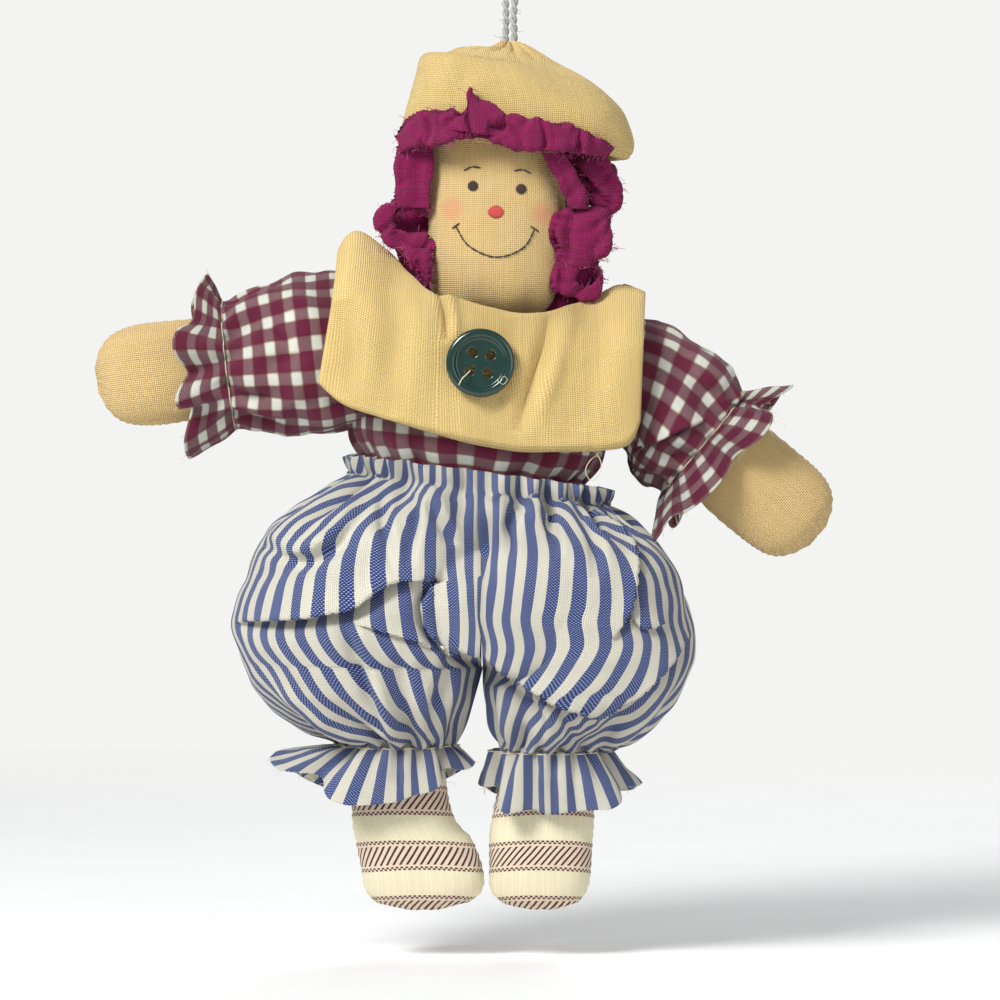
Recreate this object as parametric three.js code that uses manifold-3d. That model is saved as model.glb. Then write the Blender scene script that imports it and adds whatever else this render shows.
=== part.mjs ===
// Rag doll that hangs from a twine loop.
// Millimetres, +Z up, the doll faces -Y. The origin is where a hook bears inside the top of the loop.
// "left" is the -X side, as seen from the front.

import * as THREE from "three";
import * as BufferGeometryUtils from "three/addons/utils/BufferGeometryUtils.js";
import Module from "manifold-3d";

const wasm = await Module();
wasm.setup();

// Cloth, fits and shared sizes

const clearance = 0.3;
const cloth = 0.9;
const elasticThick = 0.8;
const elasticBroad = 2.4;
const cutOverrun = 200;
const softSides = 16;
const roundSides = 12;
const ballRows = 8;
const softPower = 2.2;
const roundPower = 2;

// Twine loop, knot and cap

const twineDiameter = 1.7;
const loopDrop = 75;
const loopLean = 1.2;
const knotRadius = 2.3;
const capBroad = 55;
const capTall = 27;
const capDeep = 35;
const capHem = 1.8;

// Head and hair

const headBroad = 32;
const headTall = 57;
const headDeep = 26;
const headLeft = 4.7;
const headUnderPeak = 8;
const headTilt = THREE.MathUtils.degToRad(4);
const neckUp = 4.5;
const neckLeft = 5.1;
const neckBall = 6;
const hairFat = 6.6;

// Torso and shirt: they lean, with the waist further left than the neck

const torsoLean = THREE.MathUtils.degToRad(6.7);
const torsoTall = 60;
const torsoBroad = 46.8;
const torsoDeep = 22;
const waistDown = 43;
const shirtTall = 40;
const shirtLoose = 5.2;
const shirtLooseDeep = 3;

// Collar and button

const collarBroad = 77;
const collarTall = 50.8;
const collarThick = 2;
const collarLeft = 46.3;
const collarUnderPeak = 44.9;
const creaseDeep = 1.1;
const creaseBroad = 3.2;
const buttonDiameter = 15.9;
const buttonThick = 2.8;
const buttonRim = 0.7;
const buttonHole = 2.3;
const buttonHoleCircle = 5.9;
const buttonRecess = 1.1;
const buttonTurn = THREE.MathUtils.degToRad(-8);
const threadDiameter = 0.45;
const threadTail = 4;

// Arms and sleeves: sizes along an arm start at its shoulder

const armReach = 62;
const armBroad = 24;
const armDeep = 16.4;
const shoulderBall = 8.5;
const leftBendReach = 14.5;
const rightBendReach = 18.5;
const wristReach = 26;
const leftArmDrop = THREE.MathUtils.degToRad(6.8);
const leftShoulderDown = 16.3;
const rightArmDrop = THREE.MathUtils.degToRad(40);
const rightShoulderDown = 12.4;
const sleeveBroad = 38;
const sleeveDeep = 26;
const rippleHigh = 0.7;
const frillWave = 1.1;
const leftFrill = { up: 20.7, down: 19.6, deep: 13, reachUp: 3, reachDown: 15, reachFront: 15 };
const rightFrill = { up: 20.6, down: 25, deep: 13, reachUp: 6, reachDown: 5, reachFront: 8.5 };

// Trousers, legs and boots

const trousersBroad = 107.5;
const trousersTall = 67;
const trousersDeep = 50;
const trousersLeft = 66;
const trousersUnderPeak = 97.3;
const centreSeamLeft = 7.75;
const foldHigh = 1.3;
const legBroad = 21;
const legDeep = 16;
const leftHipAcross = 14;
const rightHipAcross = 17;
const leftAnkle = 27.5;
const rightAnkle = 8.2;
const leftAnkleUnderPeak = 164.3;
const rightAnkleUnderPeak = 165.5;
const bootTall = 22.5;
const leftBootBroad = 31.2;
const bootDeep = 17;
const soleUnderPeak = 204;
const leftBootLeft = 38.3;
const rightBootLeft = 6.4;
const rightBootBroad = 25;
const leftAnkleFrill = { up: 16.6, down: 27, deep: 14.5, reachUp: 2, reachDown: 1.5, reachFront: 15 };
const rightAnkleFrill = { up: 20.7, down: 15.6, deep: 14.5, reachUp: 8, reachDown: 6, reachFront: 17.5 };

const peakHigh = -loopDrop;
const neck = new THREE.Vector3(-neckLeft, 0, peakHigh - headUnderPeak - headTall + neckUp);

// Small helpers for rings, skins and solids

const deepWay = new THREE.Vector3(0, 1, 0);

function blendShare(from, to, share) {
  return from + (to - from) * share;
}

// Catmull-Rom through rows of numbers, with the end rows repeated.
function smoothRows(rows, perSpan) {
  const result = [];
  for (let span = 0; span < rows.length - 1; span += 1) {
    const four = [-1, 0, 1, 2].map((step) => rows[Math.min(Math.max(span + step, 0), rows.length - 1)]);
    for (let step = 0; step < perSpan; step += 1) {
      const share = step / perSpan;
      result.push(four[0].map((unused, column) => catmull(four.map((row) => row[column]), share)));
    }
  }
  result.push(rows[rows.length - 1].slice());
  return result;
}

function catmull([before, from, to, after], share) {
  const first = (to - before) / 2;
  const second = (after - from) / 2;
  const square = share * share;
  const cube = square * share;
  return (
    (2 * cube - 3 * square + 1) * from +
    (cube - 2 * square + share) * first +
    (3 * square - 2 * cube) * to +
    (cube - square) * second
  );
}

// A flattened ring of points. `across` is its broad direction and Y its deep one, and `power` squares it.
function makeRing(centre, across, half, deep, sides, options = {}) {
  const { power = softPower, ripple = 0, waves = 0, turn = 0 } = options;
  const points = [];
  for (let side = 0; side < sides; side += 1) {
    const angle = (side / sides) * 2 * Math.PI;
    const wave = ripple * Math.cos(waves * angle + turn);
    const cosine = Math.cos(angle);
    const sine = Math.sin(angle);
    const broadShare = Math.sign(cosine) * Math.abs(cosine) ** (2 / power);
    const deepShare = Math.sign(sine) * Math.abs(sine) ** (2 / power);
    points.push(
      centre
        .clone()
        .addScaledVector(across, broadShare * (half + wave))
        .addScaledVector(deepWay, deepShare * (deep + wave)),
    );
  }
  return points;
}

function geometryFrom(points, faces) {
  const geometry = new THREE.BufferGeometry();
  const flat = points.flatMap((point) => point.toArray());
  geometry.setAttribute("position", new THREE.Float32BufferAttribute(flat, 3));
  geometry.setIndex(faces.flat());
  return signedVolume(points, faces) < 0 ? turnedOut(geometry, faces) : geometry;
}

function signedVolume(points, faces) {
  let volume = 0;
  for (const [first, second, third] of faces) {
    volume += points[first].dot(points[second].clone().cross(points[third]));
  }
  return volume;
}

function turnedOut(geometry, faces) {
  geometry.setIndex(faces.flatMap(([first, second, third]) => [first, third, second]));
  return geometry;
}

// Faces between two rings of as many points, by their first indices.
function bandFaces(first, second, sides) {
  const faces = [];
  for (let side = 0; side < sides; side += 1) {
    const next = (side + 1) % sides;
    faces.push([first + side, first + next, second + next]);
    faces.push([first + side, second + next, second + side]);
  }
  return faces;
}

// A closed solid through rings, its ends closed by fans.
function solidThrough(rings) {
  const sides = rings[0].length;
  const points = rings.flat();
  const faces = [];
  for (let ring = 0; ring < rings.length - 1; ring += 1) {
    faces.push(...bandFaces(ring * sides, (ring + 1) * sides, sides));
  }
  const ends = [rings[0], rings[rings.length - 1]];
  ends.forEach((ring, end) => {
    const centre = ring.reduce((sum, point) => sum.add(point), new THREE.Vector3()).divideScalar(sides);
    const start = end === 0 ? 0 : (rings.length - 1) * sides;
    const hub = points.length;
    points.push(centre);
    for (let side = 0; side < sides; side += 1) {
      const next = (side + 1) % sides;
      faces.push(end === 0 ? [hub, start + next, start + side] : [hub, start + side, start + next]);
    }
  });
  return geometryFrom(points, faces);
}

// A cloth tube, open at both ends: outer rings one way and inner rings back.
function tubeThrough(outer, inner) {
  const sides = outer[0].length;
  const loop = [...outer, ...inner.slice().reverse()];
  const faces = [];
  for (let ring = 0; ring < loop.length; ring += 1) {
    faces.push(...bandFaces(ring * sides, ((ring + 1) % loop.length) * sides, sides));
  }
  return geometryFrom(loop.flat(), faces);
}

function manifoldOf(geometry) {
  const bare = geometry.clone();
  bare.deleteAttribute("normal");
  bare.deleteAttribute("uv");
  const merged = BufferGeometryUtils.mergeVertices(bare);
  const mesh = new wasm.Mesh({
    numProp: 3,
    vertProperties: new Float32Array(merged.attributes.position.array),
    triVerts: new Uint32Array(merged.index.array),
  });
  return new wasm.Manifold(mesh);
}

function geometryOf(manifold) {
  const mesh = manifold.getMesh();
  const geometry = new THREE.BufferGeometry();
  geometry.setAttribute("position", new THREE.Float32BufferAttribute(mesh.vertProperties, 3));
  geometry.setIndex(Array.from(mesh.triVerts));
  return geometry;
}

function cut(geometry, ...tools) {
  return geometryOf(tools.reduce((solid, tool) => solid.subtract(manifoldOf(tool)), manifoldOf(geometry)));
}

function join(geometry, ...others) {
  return geometryOf(others.reduce((solid, other) => solid.add(manifoldOf(other)), manifoldOf(geometry)));
}

function ball(centre, radius) {
  return new THREE.SphereGeometry(radius, roundSides, ballRows).translate(centre.x, centre.y, centre.z);
}

// Everything on one side of the plane x = place: side -1 keeps the left in a cut, +1 the right.
function wallBeside(place, side) {
  const box = new THREE.BoxGeometry(cutOverrun, 2 * cutOverrun, 4 * cutOverrun);
  return box.translate(place + (side * cutOverrun) / 2, 0, peakHigh);
}

const doll = new THREE.Group();

const clothRoughness = 0.9;
const plasticRoughness = 0.3;

function addPiece(name, geometry, color, roughness = clothRoughness) {
  geometry.computeVertexNormals();
  const mesh = new THREE.Mesh(geometry, new THREE.MeshStandardMaterial({ color, roughness, metalness: 0 }));
  mesh.name = name;
  doll.add(mesh);
}

const linen = 0xe0c182;
const mustard = 0xe3c57f;
const burgundy = 0x7a1f4a;
const checked = 0x8c5563;
const ticking = 0x9aa3b8;
const striped = 0xe8d9ae;
const twineColor = 0xc9cbc4;
const buttonGreen = 0x16302c;
const elasticColor = 0xe8e6df;

// Head: [up, broad, deep] as shares of its height and half sizes

const headShares = [
  [0, 0.3, 0.22],
  [0.02, 0.62, 0.5],
  [0.08, 0.84, 0.78],
  [0.2, 0.95, 0.95],
  [0.42, 1, 1],
  [0.65, 0.97, 0.97],
  [0.84, 0.82, 0.85],
  [0.95, 0.52, 0.58],
  [1, 0.2, 0.22],
];
const headBottom = new THREE.Vector3(-headLeft, 0, peakHigh - headUnderPeak - headTall);
const headUp = new THREE.Vector3(Math.sin(headTilt), 0, Math.cos(headTilt));
const headAcross = new THREE.Vector3(Math.cos(headTilt), 0, -Math.sin(headTilt));

function headPlace(up, across = 0, deep = 0) {
  return headBottom
    .clone()
    .addScaledVector(headUp, up)
    .addScaledVector(headAcross, across)
    .addScaledVector(deepWay, deep);
}

function headSolid(grow) {
  const rings = headShares.map(([upShare, broadShare, deepShare]) => {
    const centre = headPlace(upShare * (headTall + 2 * grow) - grow);
    const half = (broadShare * headBroad) / 2 + grow;
    const deep = (deepShare * headDeep) / 2 + grow;
    return makeRing(centre, headAcross, half, deep, softSides);
  });
  return solidThrough(rings);
}

const headCutter = headSolid(clearance);
addPiece("head", cut(headSolid(0), ball(neck, neckBall + clearance)), linen);

// Cap: [down, side, broad, deep] from its peak, as shares; its last ring leaves a slot for the twine

const capShares = [
  [1, 0.01, 0.88, 0.85],
  [0.82, 0.02, 0.99, 0.96],
  [0.62, 0.015, 1, 1],
  [0.42, 0, 0.91, 0.96],
  [0.25, -0.045, 0.76, 0.82],
  [0.11, -0.1, 0.56, 0.55],
  [0.03, -0.07, 0.3, 0.26],
];
const capPower = 2.4;
const capTilt = THREE.MathUtils.degToRad(6);
const capAcross = new THREE.Vector3(Math.cos(capTilt), 0, -Math.sin(capTilt));
const capPeak = new THREE.Vector3(-loopLean, 0, peakHigh);

function capRings(shrink) {
  const rings = capShares.map(([downShare, sideShare, broadShare, deepShare]) => {
    const centre = capPeak.clone();
    centre.x += sideShare * capBroad;
    centre.z -= downShare * capTall + (1 - downShare) * shrink;
    const half = (broadShare * capBroad) / 2 - shrink;
    const deep = (deepShare * capDeep) / 2 - shrink;
    return makeRing(centre, capAcross, half, deep, softSides, { power: capPower });
  });
  const slot = capPeak.clone();
  slot.z -= shrink;
  const slotHalf = twineDiameter + 2 * clearance;
  const slotDeep = twineDiameter / 2 + 2 * clearance;
  rings.push(makeRing(slot, capAcross, slotHalf, slotDeep, softSides));
  return rings;
}

addPiece("cap", cut(tubeThrough(capRings(0), capRings(capHem)), headCutter), mustard);

// Knot under the cap and the twine loop above it

const knotTop = capPeak.z - capHem - clearance;
const knotCentre = new THREE.Vector3(capPeak.x, 0, knotTop - knotRadius);
const knotProfile = [
  [0, -1],
  [0.62, -0.86],
  [0.95, -0.4],
  [0.8, 0],
  [1, 0.38],
  [0.66, 0.9],
  [0, 1],
].map(([outShare, upShare]) => new THREE.Vector2(outShare * knotRadius, upShare * knotRadius));
const knotGeometry = new THREE.LatheGeometry(knotProfile, roundSides).rotateX(Math.PI / 2);
addPiece("loop_knot", knotGeometry.translate(knotCentre.x, knotCentre.y, knotCentre.z), twineColor);

const strandApart = twineDiameter + clearance;
const loopTopHigh = twineDiameter / 2;
const loopEndHigh = knotTop + clearance;
const loopRoutePoints = [
  [-strandApart / 2 - loopLean, 0, loopEndHigh],
  [-strandApart / 2 - loopLean, 0, -73],
  [-strandApart / 2 - loopLean, 0, -67],
  [-2.9, 0, -50],
  [-5, 0, -32],
  [-5.5, 0, -16],
  [-5, 0, -6.5],
  [-3.2, 0, -1.4],
  [0, 0, loopTopHigh],
  [3.2, 0, -1.4],
  [5, 0, -6.5],
  [5.5, 0, -16],
  [4.6, 0, -32],
  [2.1, 0, -50],
  [strandApart / 2 - loopLean, 0, -67],
  [strandApart / 2 - loopLean, 0, -73],
  [strandApart / 2 - loopLean, 0, loopEndHigh],
];
const loopRoute = new THREE.CatmullRomCurve3(loopRoutePoints.map((point) => new THREE.Vector3(...point)));

function roundShape(radius, sides) {
  const corners = [];
  for (let side = 0; side < sides; side += 1) {
    const angle = (side / sides) * 2 * Math.PI;
    corners.push(new THREE.Vector2(radius * Math.cos(angle), radius * Math.sin(angle)));
  }
  return new THREE.Shape(corners);
}

function cordAlong(route, diameter, sides, steps) {
  const section = roundShape(diameter / 2, sides);
  return new THREE.ExtrudeGeometry(section, { extrudePath: route, steps, bevelEnabled: false });
}

const twineSides = 8;
const twineSteps = 46;
addPiece("hang_loop", cordAlong(loopRoute, twineDiameter, twineSides, twineSteps), twineColor);

// Hair: torn strips round the face. Each point is [across, up, deep] as shares of the head's half sizes,
// from the middle of the head, and a strip's half height and half depth are shares of hairFat.

const hairShares = {
  hair_fringe: {
    routeShares: [
      [-1.42, 0.48, -0.74],
      [-0.95, 0.57, -1.18],
      [-0.4, 0.68, -1.42],
      [0.2, 0.6, -1.5],
      [0.75, 0.52, -1.42],
      [1.45, 0.44, -1.0],
    ],
    highShare: 0.66,
    deepShare: 0.5,
  },
  hair_left_front: {
    routeShares: [[-1.32, 0.38, -0.62], [-1.35, 0.16, -0.64], [-1.36, -0.06, -0.62]],
    highShare: 0.6,
    deepShare: 0.55,
  },
  hair_left_puff: {
    routeShares: [[-1.42, -0.08, -0.36], [-1.54, -0.24, -0.38], [-1.36, -0.44, -0.38]],
    highShare: 0.9,
    deepShare: 0.9,
  },
  hair_left_tuft: {
    routeShares: [[-1.26, -0.42, -0.7], [-1.14, -0.51, -0.76], [-1.0, -0.6, -0.74]],
    highShare: 0.42,
    deepShare: 0.6,
  },
  hair_right_front: {
    routeShares: [[0.82, 0.34, -1.02], [1.04, 0.14, -0.85], [1.16, -0.04, -0.6]],
    highShare: 0.66,
    deepShare: 0.55,
  },
  hair_right_side: {
    routeShares: [[1.2, 0.34, -0.3], [1.5, 0.12, -0.1], [1.5, -0.1, -0.1]],
    highShare: 0.66,
    deepShare: 0.9,
  },
  hair_right_puff: {
    routeShares: [[0.78, -0.2, -0.5], [1.16, -0.27, -0.56], [1.52, -0.35, -0.32]],
    highShare: 0.92,
    deepShare: 0.95,
  },
  hair_right_tuft: {
    routeShares: [[0.84, -0.54, -0.5], [1.1, -0.6, -0.55], [1.4, -0.64, -0.4]],
    highShare: 0.7,
    deepShare: 0.8,
  },
  hair_back_upper: {
    routeShares: [[-1.15, 0.14, 0.6], [-0.6, 0.1, 1.22], [0.5, 0.08, 1.22], [1.15, 0.04, 0.6]],
    highShare: 0.95,
    deepShare: 0.6,
  },
  hair_back_lower: {
    routeShares: [[-1.1, -0.4, 0.6], [-0.5, -0.5, 1.15], [0.5, -0.52, 1.15], [1.1, -0.46, 0.6]],
    highShare: 0.95,
    deepShare: 0.6,
  },
};
const hairSides = 8;
const hairSteps = 7;
const hairLumps = 1.5;
const hairLumpShare = 0.12;
const hairEndShare = 0.62;

function hairSolid(strip, grow) {
  const curve = new THREE.CatmullRomCurve3(
    strip.routeShares.map(([acrossShare, upShare, deepShare]) =>
      headPlace(((1 + upShare) * headTall) / 2, (acrossShare * headBroad) / 2, (deepShare * headDeep) / 2),
    ),
  );
  const rings = [];
  for (let step = 0; step <= hairSteps; step += 1) {
    const share = step / hairSteps;
    const tangent = curve.getTangentAt(share);
    const centre = curve.getPointAt(share).addScaledVector(tangent, blendShare(-grow, grow, share));
    const side = tangent.clone().cross(deepWay).normalize();
    const outward = side.clone().cross(tangent).normalize();
    const lump = 1 + hairLumpShare * Math.sin(share * hairLumps * 2 * Math.PI);
    const swell = blendShare(hairEndShare, 1, Math.sin(Math.PI * share)) * lump * hairFat;
    const ring = [];
    for (let corner = 0; corner < hairSides; corner += 1) {
      const angle = (corner / hairSides) * 2 * Math.PI;
      ring.push(
        centre
          .clone()
          .addScaledVector(side, Math.cos(angle) * (strip.highShare * swell + grow))
          .addScaledVector(outward, Math.sin(angle) * (strip.deepShare * swell + grow)),
      );
    }
    rings.push(ring);
  }
  return solidThrough(rings);
}

// Torso and shirt, in a frame that leans about the neck

const torsoDownward = new THREE.Vector3(-Math.sin(torsoLean), 0, -Math.cos(torsoLean));
const torsoAcross = new THREE.Vector3(Math.cos(torsoLean), 0, -Math.sin(torsoLean));

function torsoPlace(down, across = 0, deep = 0) {
  return neck
    .clone()
    .addScaledVector(torsoDownward, down)
    .addScaledVector(torsoAcross, across)
    .addScaledVector(deepWay, deep);
}

// [down, broad, deep, loose] as shares of its height, its half sizes and the shirt's looseness
const torsoShares = [
  [0.07, 0.12, 0.26, 0],
  [0.1, 0.2, 0.42, 0],
  [0.13, 0.3, 0.46, 0],
  [0.16, 0.62, 0.66, 0],
  [0.2, 0.78, 0.84, 0],
  [0.3, 0.86, 0.97, 0.2],
  [0.4, 0.94, 1, 0.7],
  [0.48, 1, 1, 1],
  [0.6, 1, 1, 0.9],
  [0.7, 1, 0.98, 0.05],
  [0.8, 1, 0.98, 0.3],
  [0.9, 0.94, 0.92, 0.3],
  [0.97, 0.8, 0.76, 0.3],
  [1, 0.62, 0.55, 0.3],
];
const shirtFolds = 4;
const shirtFromShare = 0.13;
const shirtToShare = shirtFromShare + shirtTall / torsoTall;

// The row at any share of the torso's height, between the two rows of the table beside it.
function torsoRowAt(share) {
  const below = Math.max(torsoShares.findIndex(([downShare]) => downShare >= Math.min(share, 1)), 1);
  const [from, to] = [torsoShares[below - 1], torsoShares[below]];
  const part = (share - from[0]) / (to[0] - from[0]);
  return from.map((value, column) => blendShare(value, to[column], part));
}

function torsoSolid() {
  const rings = torsoShares.map(([downShare, broadShare, deepShare]) => {
    const half = (broadShare * torsoBroad) / 2;
    const deep = (deepShare * torsoDeep) / 2;
    return makeRing(torsoPlace(downShare * torsoTall), torsoAcross, half, deep, softSides);
  });
  return join(solidThrough(rings), ball(neck, neckBall));
}

addPiece("torso", torsoSolid(), linen);

function shirtRings(grow) {
  const between = torsoShares.filter(([downShare]) => downShare > shirtFromShare && downShare < shirtToShare);
  const rows = [torsoRowAt(shirtFromShare), ...between, torsoRowAt(shirtToShare)];
  return rows.map(([downShare, broadShare, deepShare, looseShare]) => {
    const half = (broadShare * torsoBroad) / 2 + grow + looseShare * shirtLoose;
    const deep = (deepShare * torsoDeep) / 2 + grow + looseShare * shirtLooseDeep;
    const options = { ripple: rippleHigh * looseShare, waves: shirtFolds };
    return makeRing(torsoPlace(downShare * torsoTall - grow), torsoAcross, half, deep, softSides, options);
  });
}

addPiece("shirt_body", tubeThrough(shirtRings(clearance + cloth), shirtRings(clearance)), checked);

// Elastic in the waistband, which follows the shirt there

const waistShare = waistDown / torsoTall;
const waistInset = clearance + cloth + clearance;
const waistLooseShare = torsoRowAt(waistShare)[3];
const waistHalf = torsoBroad / 2 + waistInset + waistLooseShare * shirtLoose + rippleHigh;
const waistDeep = torsoDeep / 2 + waistInset + waistLooseShare * shirtLooseDeep + rippleHigh;

function waistRing(offsetDown, grow) {
  const centre = torsoPlace(waistShare * torsoTall + offsetDown);
  return makeRing(centre, torsoAcross, waistHalf + grow, waistDeep + grow, softSides);
}

const elasticOffsets = [-elasticBroad / 2, elasticBroad / 2];
const waistInside = elasticOffsets.map((offset) => waistRing(offset, 0));
const waistOutside = elasticOffsets.map((offset) => waistRing(offset, elasticThick));
addPiece("waist_elastic", tubeThrough(waistOutside, waistInside), elasticColor);

// Hair pieces, each clear of the head, the cap and the strips before it

const capCutterRings = capRings(-clearance);
capCutterRings[0].forEach((point) => {
  point.z -= clearance;
});
const capCutter = solidThrough(capCutterRings);
const hairCutters = [];
for (const [name, strip] of Object.entries(hairShares)) {
  addPiece(name, cut(hairSolid(strip, 0), headCutter, capCutter, ...hairCutters), burgundy);
  hairCutters.push(hairSolid(strip, clearance));
}

// Collar: front and back panels that meet along the shoulders.
// Each row is [top across, top down, bottom across, bottom down, top depth, full depth] as shares.

const shirtFront = torsoDeep / 2 + clearance + cloth + shirtLooseDeep + rippleHigh;
const collarDeep = shirtFront + clearance + collarThick;
const collarShares = [
  [0.067, 0.09, 0, 0.7, 0.01, 0.9],
  [0.12, 0, 0.08, 0.8, 0.01, 0.95],
  [0.24, 0.13, 0.2, 0.86, 0.2, 1],
  [0.34, 0.27, 0.32, 0.91, 0.86, 1],
  [0.42, 0.3, 0.44, 0.955, 0.88, 1],
  [0.52, 0.345, 0.53, 0.98, 0.88, 1],
  [0.62, 0.375, 0.62, 1, 0.88, 1],
  [0.71, 0.36, 0.72, 1, 0.86, 1],
  [0.83, 0.31, 0.86, 0.995, 0.2, 0.98],
  [0.925, 0.25, 0.95, 0.965, 0.01, 0.98],
  [1, 0.28, 0.985, 0.86, 0.01, 0.98],
];
const collarColumns = 2;
const collarRows = 5;
const shoulderRoundShare = 0.42;
const creaseShares = [
  { top: 0.33, bottom: 0.2 },
  { top: 0.5, bottom: 0.62 },
  { top: 0.7, bottom: 0.8 },
];

function collarPlace(row, downShare, creased) {
  const [topAcross, topDown, bottomAcross, bottomDown, topDepth, fullDepth] = row;
  const across = blendShare(topAcross, bottomAcross, downShare);
  const down = blendShare(topDown, bottomDown, downShare);
  const round = 1 - (1 - Math.min(downShare / shoulderRoundShare, 1)) ** 2;
  let depth = collarDeep * blendShare(topDepth, fullDepth, round);
  if (creased) {
    for (const { top, bottom } of creaseShares) {
      const away = ((across - blendShare(top, bottom, downShare)) * collarBroad) / creaseBroad;
      depth += creaseDeep * Math.exp(-away * away) * round;
    }
  }
  return new THREE.Vector3(
    -collarLeft + across * collarBroad,
    -Math.max(depth, clearance / 2),
    peakHigh - collarUnderPeak - down * collarTall,
  );
}

function collarPanel(creased) {
  const rows = smoothRows(collarShares, collarColumns);
  const outer = rows.map((row) => {
    const column = [];
    for (let step = 0; step <= collarRows; step += 1) {
      column.push(collarPlace(row, step / collarRows, creased));
    }
    return column;
  });
  const inner = outer.map((column, index) =>
    column.map((point, step) => {
      const before = outer[Math.max(index - 1, 0)][step];
      const after = outer[Math.min(index + 1, outer.length - 1)][step];
      const above = column[Math.max(step - 1, 0)];
      const below = column[Math.min(step + 1, collarRows)];
      const normal = after.clone().sub(before).cross(below.clone().sub(above)).normalize();
      const moved = point.clone().addScaledVector(normal, collarThick * Math.sign(normal.y));
      moved.y = Math.min(moved.y, -clearance / 2);
      return moved;
    }),
  );
  const rings = outer.map((column, index) => [...column, ...inner[index].slice().reverse()]);
  return solidThrough(rings);
}

// The same panel behind the doll: its Y turned over, and its faces with it.
function turnOver(geometry) {
  const turned = geometry.clone().scale(1, -1, 1);
  const order = Array.from(turned.index.array);
  for (let corner = 0; corner < order.length; corner += 3) {
    [order[corner + 1], order[corner + 2]] = [order[corner + 2], order[corner + 1]];
  }
  turned.setIndex(order);
  return turned;
}

addPiece("collar_front", collarPanel(true), mustard);
addPiece("collar_back", turnOver(collarPanel(false)), mustard);

// Button with four holes, and the end of its thread, which runs in the recess behind two holes

const buttonAcrossShare = 0.497;
const buttonDownShare = 0.619;
const buttonPlace = new THREE.Vector3(
  -collarLeft + buttonAcrossShare * collarBroad,
  -collarDeep - creaseDeep - clearance,
  peakHigh - collarUnderPeak - buttonDownShare * collarTall,
);
const buttonRadius = buttonDiameter / 2;
const recessShare = 0.6;
const dishShare = 0.66;
const rimShares = [
  [0.9, 0],
  [1, 0.4],
  [1, 0.7],
  [0.93, 0.95],
  [0.84, 1],
];
const buttonFace = buttonThick - buttonRim;
const buttonProfile = [
  [0, buttonRecess],
  [recessShare * buttonRadius, buttonRecess],
  [dishShare * buttonRadius, 0],
  ...rimShares.map(([outShare, upShare]) => [outShare * buttonRadius, upShare * buttonThick]),
  [dishShare * buttonRadius, buttonFace],
  [0, buttonFace],
].map(([outward, forward]) => new THREE.Vector2(outward, forward));

function towardFront(geometry) {
  return geometry.rotateY(buttonTurn).rotateX(Math.PI).translate(buttonPlace.x, buttonPlace.y, buttonPlace.z);
}

const holeAngles = [1, 3, 5, 7].map((eighth) => (eighth * Math.PI) / 4);
const holePlaces = holeAngles.map(
  (angle) => new THREE.Vector2(Math.cos(angle), Math.sin(angle)).multiplyScalar(buttonHoleCircle / 2),
);
const holeCutters = holePlaces.map((place) => {
  const rod = new THREE.CylinderGeometry(buttonHole / 2, buttonHole / 2, cutOverrun, roundSides);
  return towardFront(rod.translate(place.x, 0, place.y));
});
const buttonSides = 32;
const buttonDisc = towardFront(new THREE.LatheGeometry(buttonProfile, buttonSides));
addPiece("button", cut(buttonDisc, ...holeCutters), buttonGreen, plasticRoughness);

const threadSides = 6;
const threadSteps = 18;
const threadBendShare = 0.33;
const threadDipShare = 0.3;
const [threadFrom, threadTo] = [holePlaces[1], holePlaces[0]];
const threadDip = threadFrom.clone().lerp(threadTo, threadDipShare);
const threadRise = threadTo.clone().lerp(threadFrom, threadDipShare);
const threadBack = buttonRecess / 2;
const threadFront = buttonThick + threadDiameter;
const threadRoute = new THREE.CatmullRomCurve3(
  [
    [threadFrom.x - threadTail, threadFront, threadFrom.y],
    [threadFrom.x - threadBendShare * threadTail, threadFront, threadFrom.y],
    [threadFrom.x, buttonFace, threadFrom.y],
    [threadFrom.x, buttonRecess, threadFrom.y],
    [threadDip.x, threadBack, threadDip.y],
    [threadRise.x, threadBack, threadRise.y],
    [threadTo.x, buttonRecess, threadTo.y],
    [threadTo.x, buttonFace, threadTo.y],
  ].map((point) => new THREE.Vector3(...point)),
);
const threadCord = cordAlong(threadRoute, threadDiameter, threadSides, threadSteps);
addPiece("button_thread", towardFront(threadCord), elasticColor);

// Arms, each in its own frame: reach along the arm, across it, and deep

const degreesOf = (degrees) => THREE.MathUtils.degToRad(degrees);
const endTurns = [15, 40, 65].map(degreesOf);
const ballTurns = [-80, -60, -40, -20, 0, 20, 40, 60].map(degreesOf);

// Half the shirt's breadth at a distance below the neck.
function shirtHalfAt(down) {
  const [, broadShare, , looseShare] = torsoRowAt((down + clearance + cloth) / torsoTall);
  return (broadShare * torsoBroad) / 2 + looseShare * shirtLoose + clearance + cloth;
}

// How far out a shoulder's middle lies, so that its ball just clears the shirt.
function shoulderAcross(down) {
  const reaches = ballTurns.map((turn) => {
    const shirt = shirtHalfAt(down + shoulderBall * Math.sin(turn));
    return shirt + shoulderBall * Math.cos(turn);
  });
  return Math.max(...reaches) + 2 * clearance;
}

function armFrame(side, down, drop, bendReach) {
  return {
    drop,
    bendReach,
    shoulder: torsoPlace(down, side * shoulderAcross(down)),
    along: new THREE.Vector3(side * Math.cos(drop), 0, -Math.sin(drop)),
    across: new THREE.Vector3(side * Math.sin(drop), 0, Math.cos(drop)),
  };
}

function armPlace(arm, reach, across = 0) {
  return arm.shoulder.clone().addScaledVector(arm.along, reach).addScaledVector(arm.across, across);
}

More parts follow.
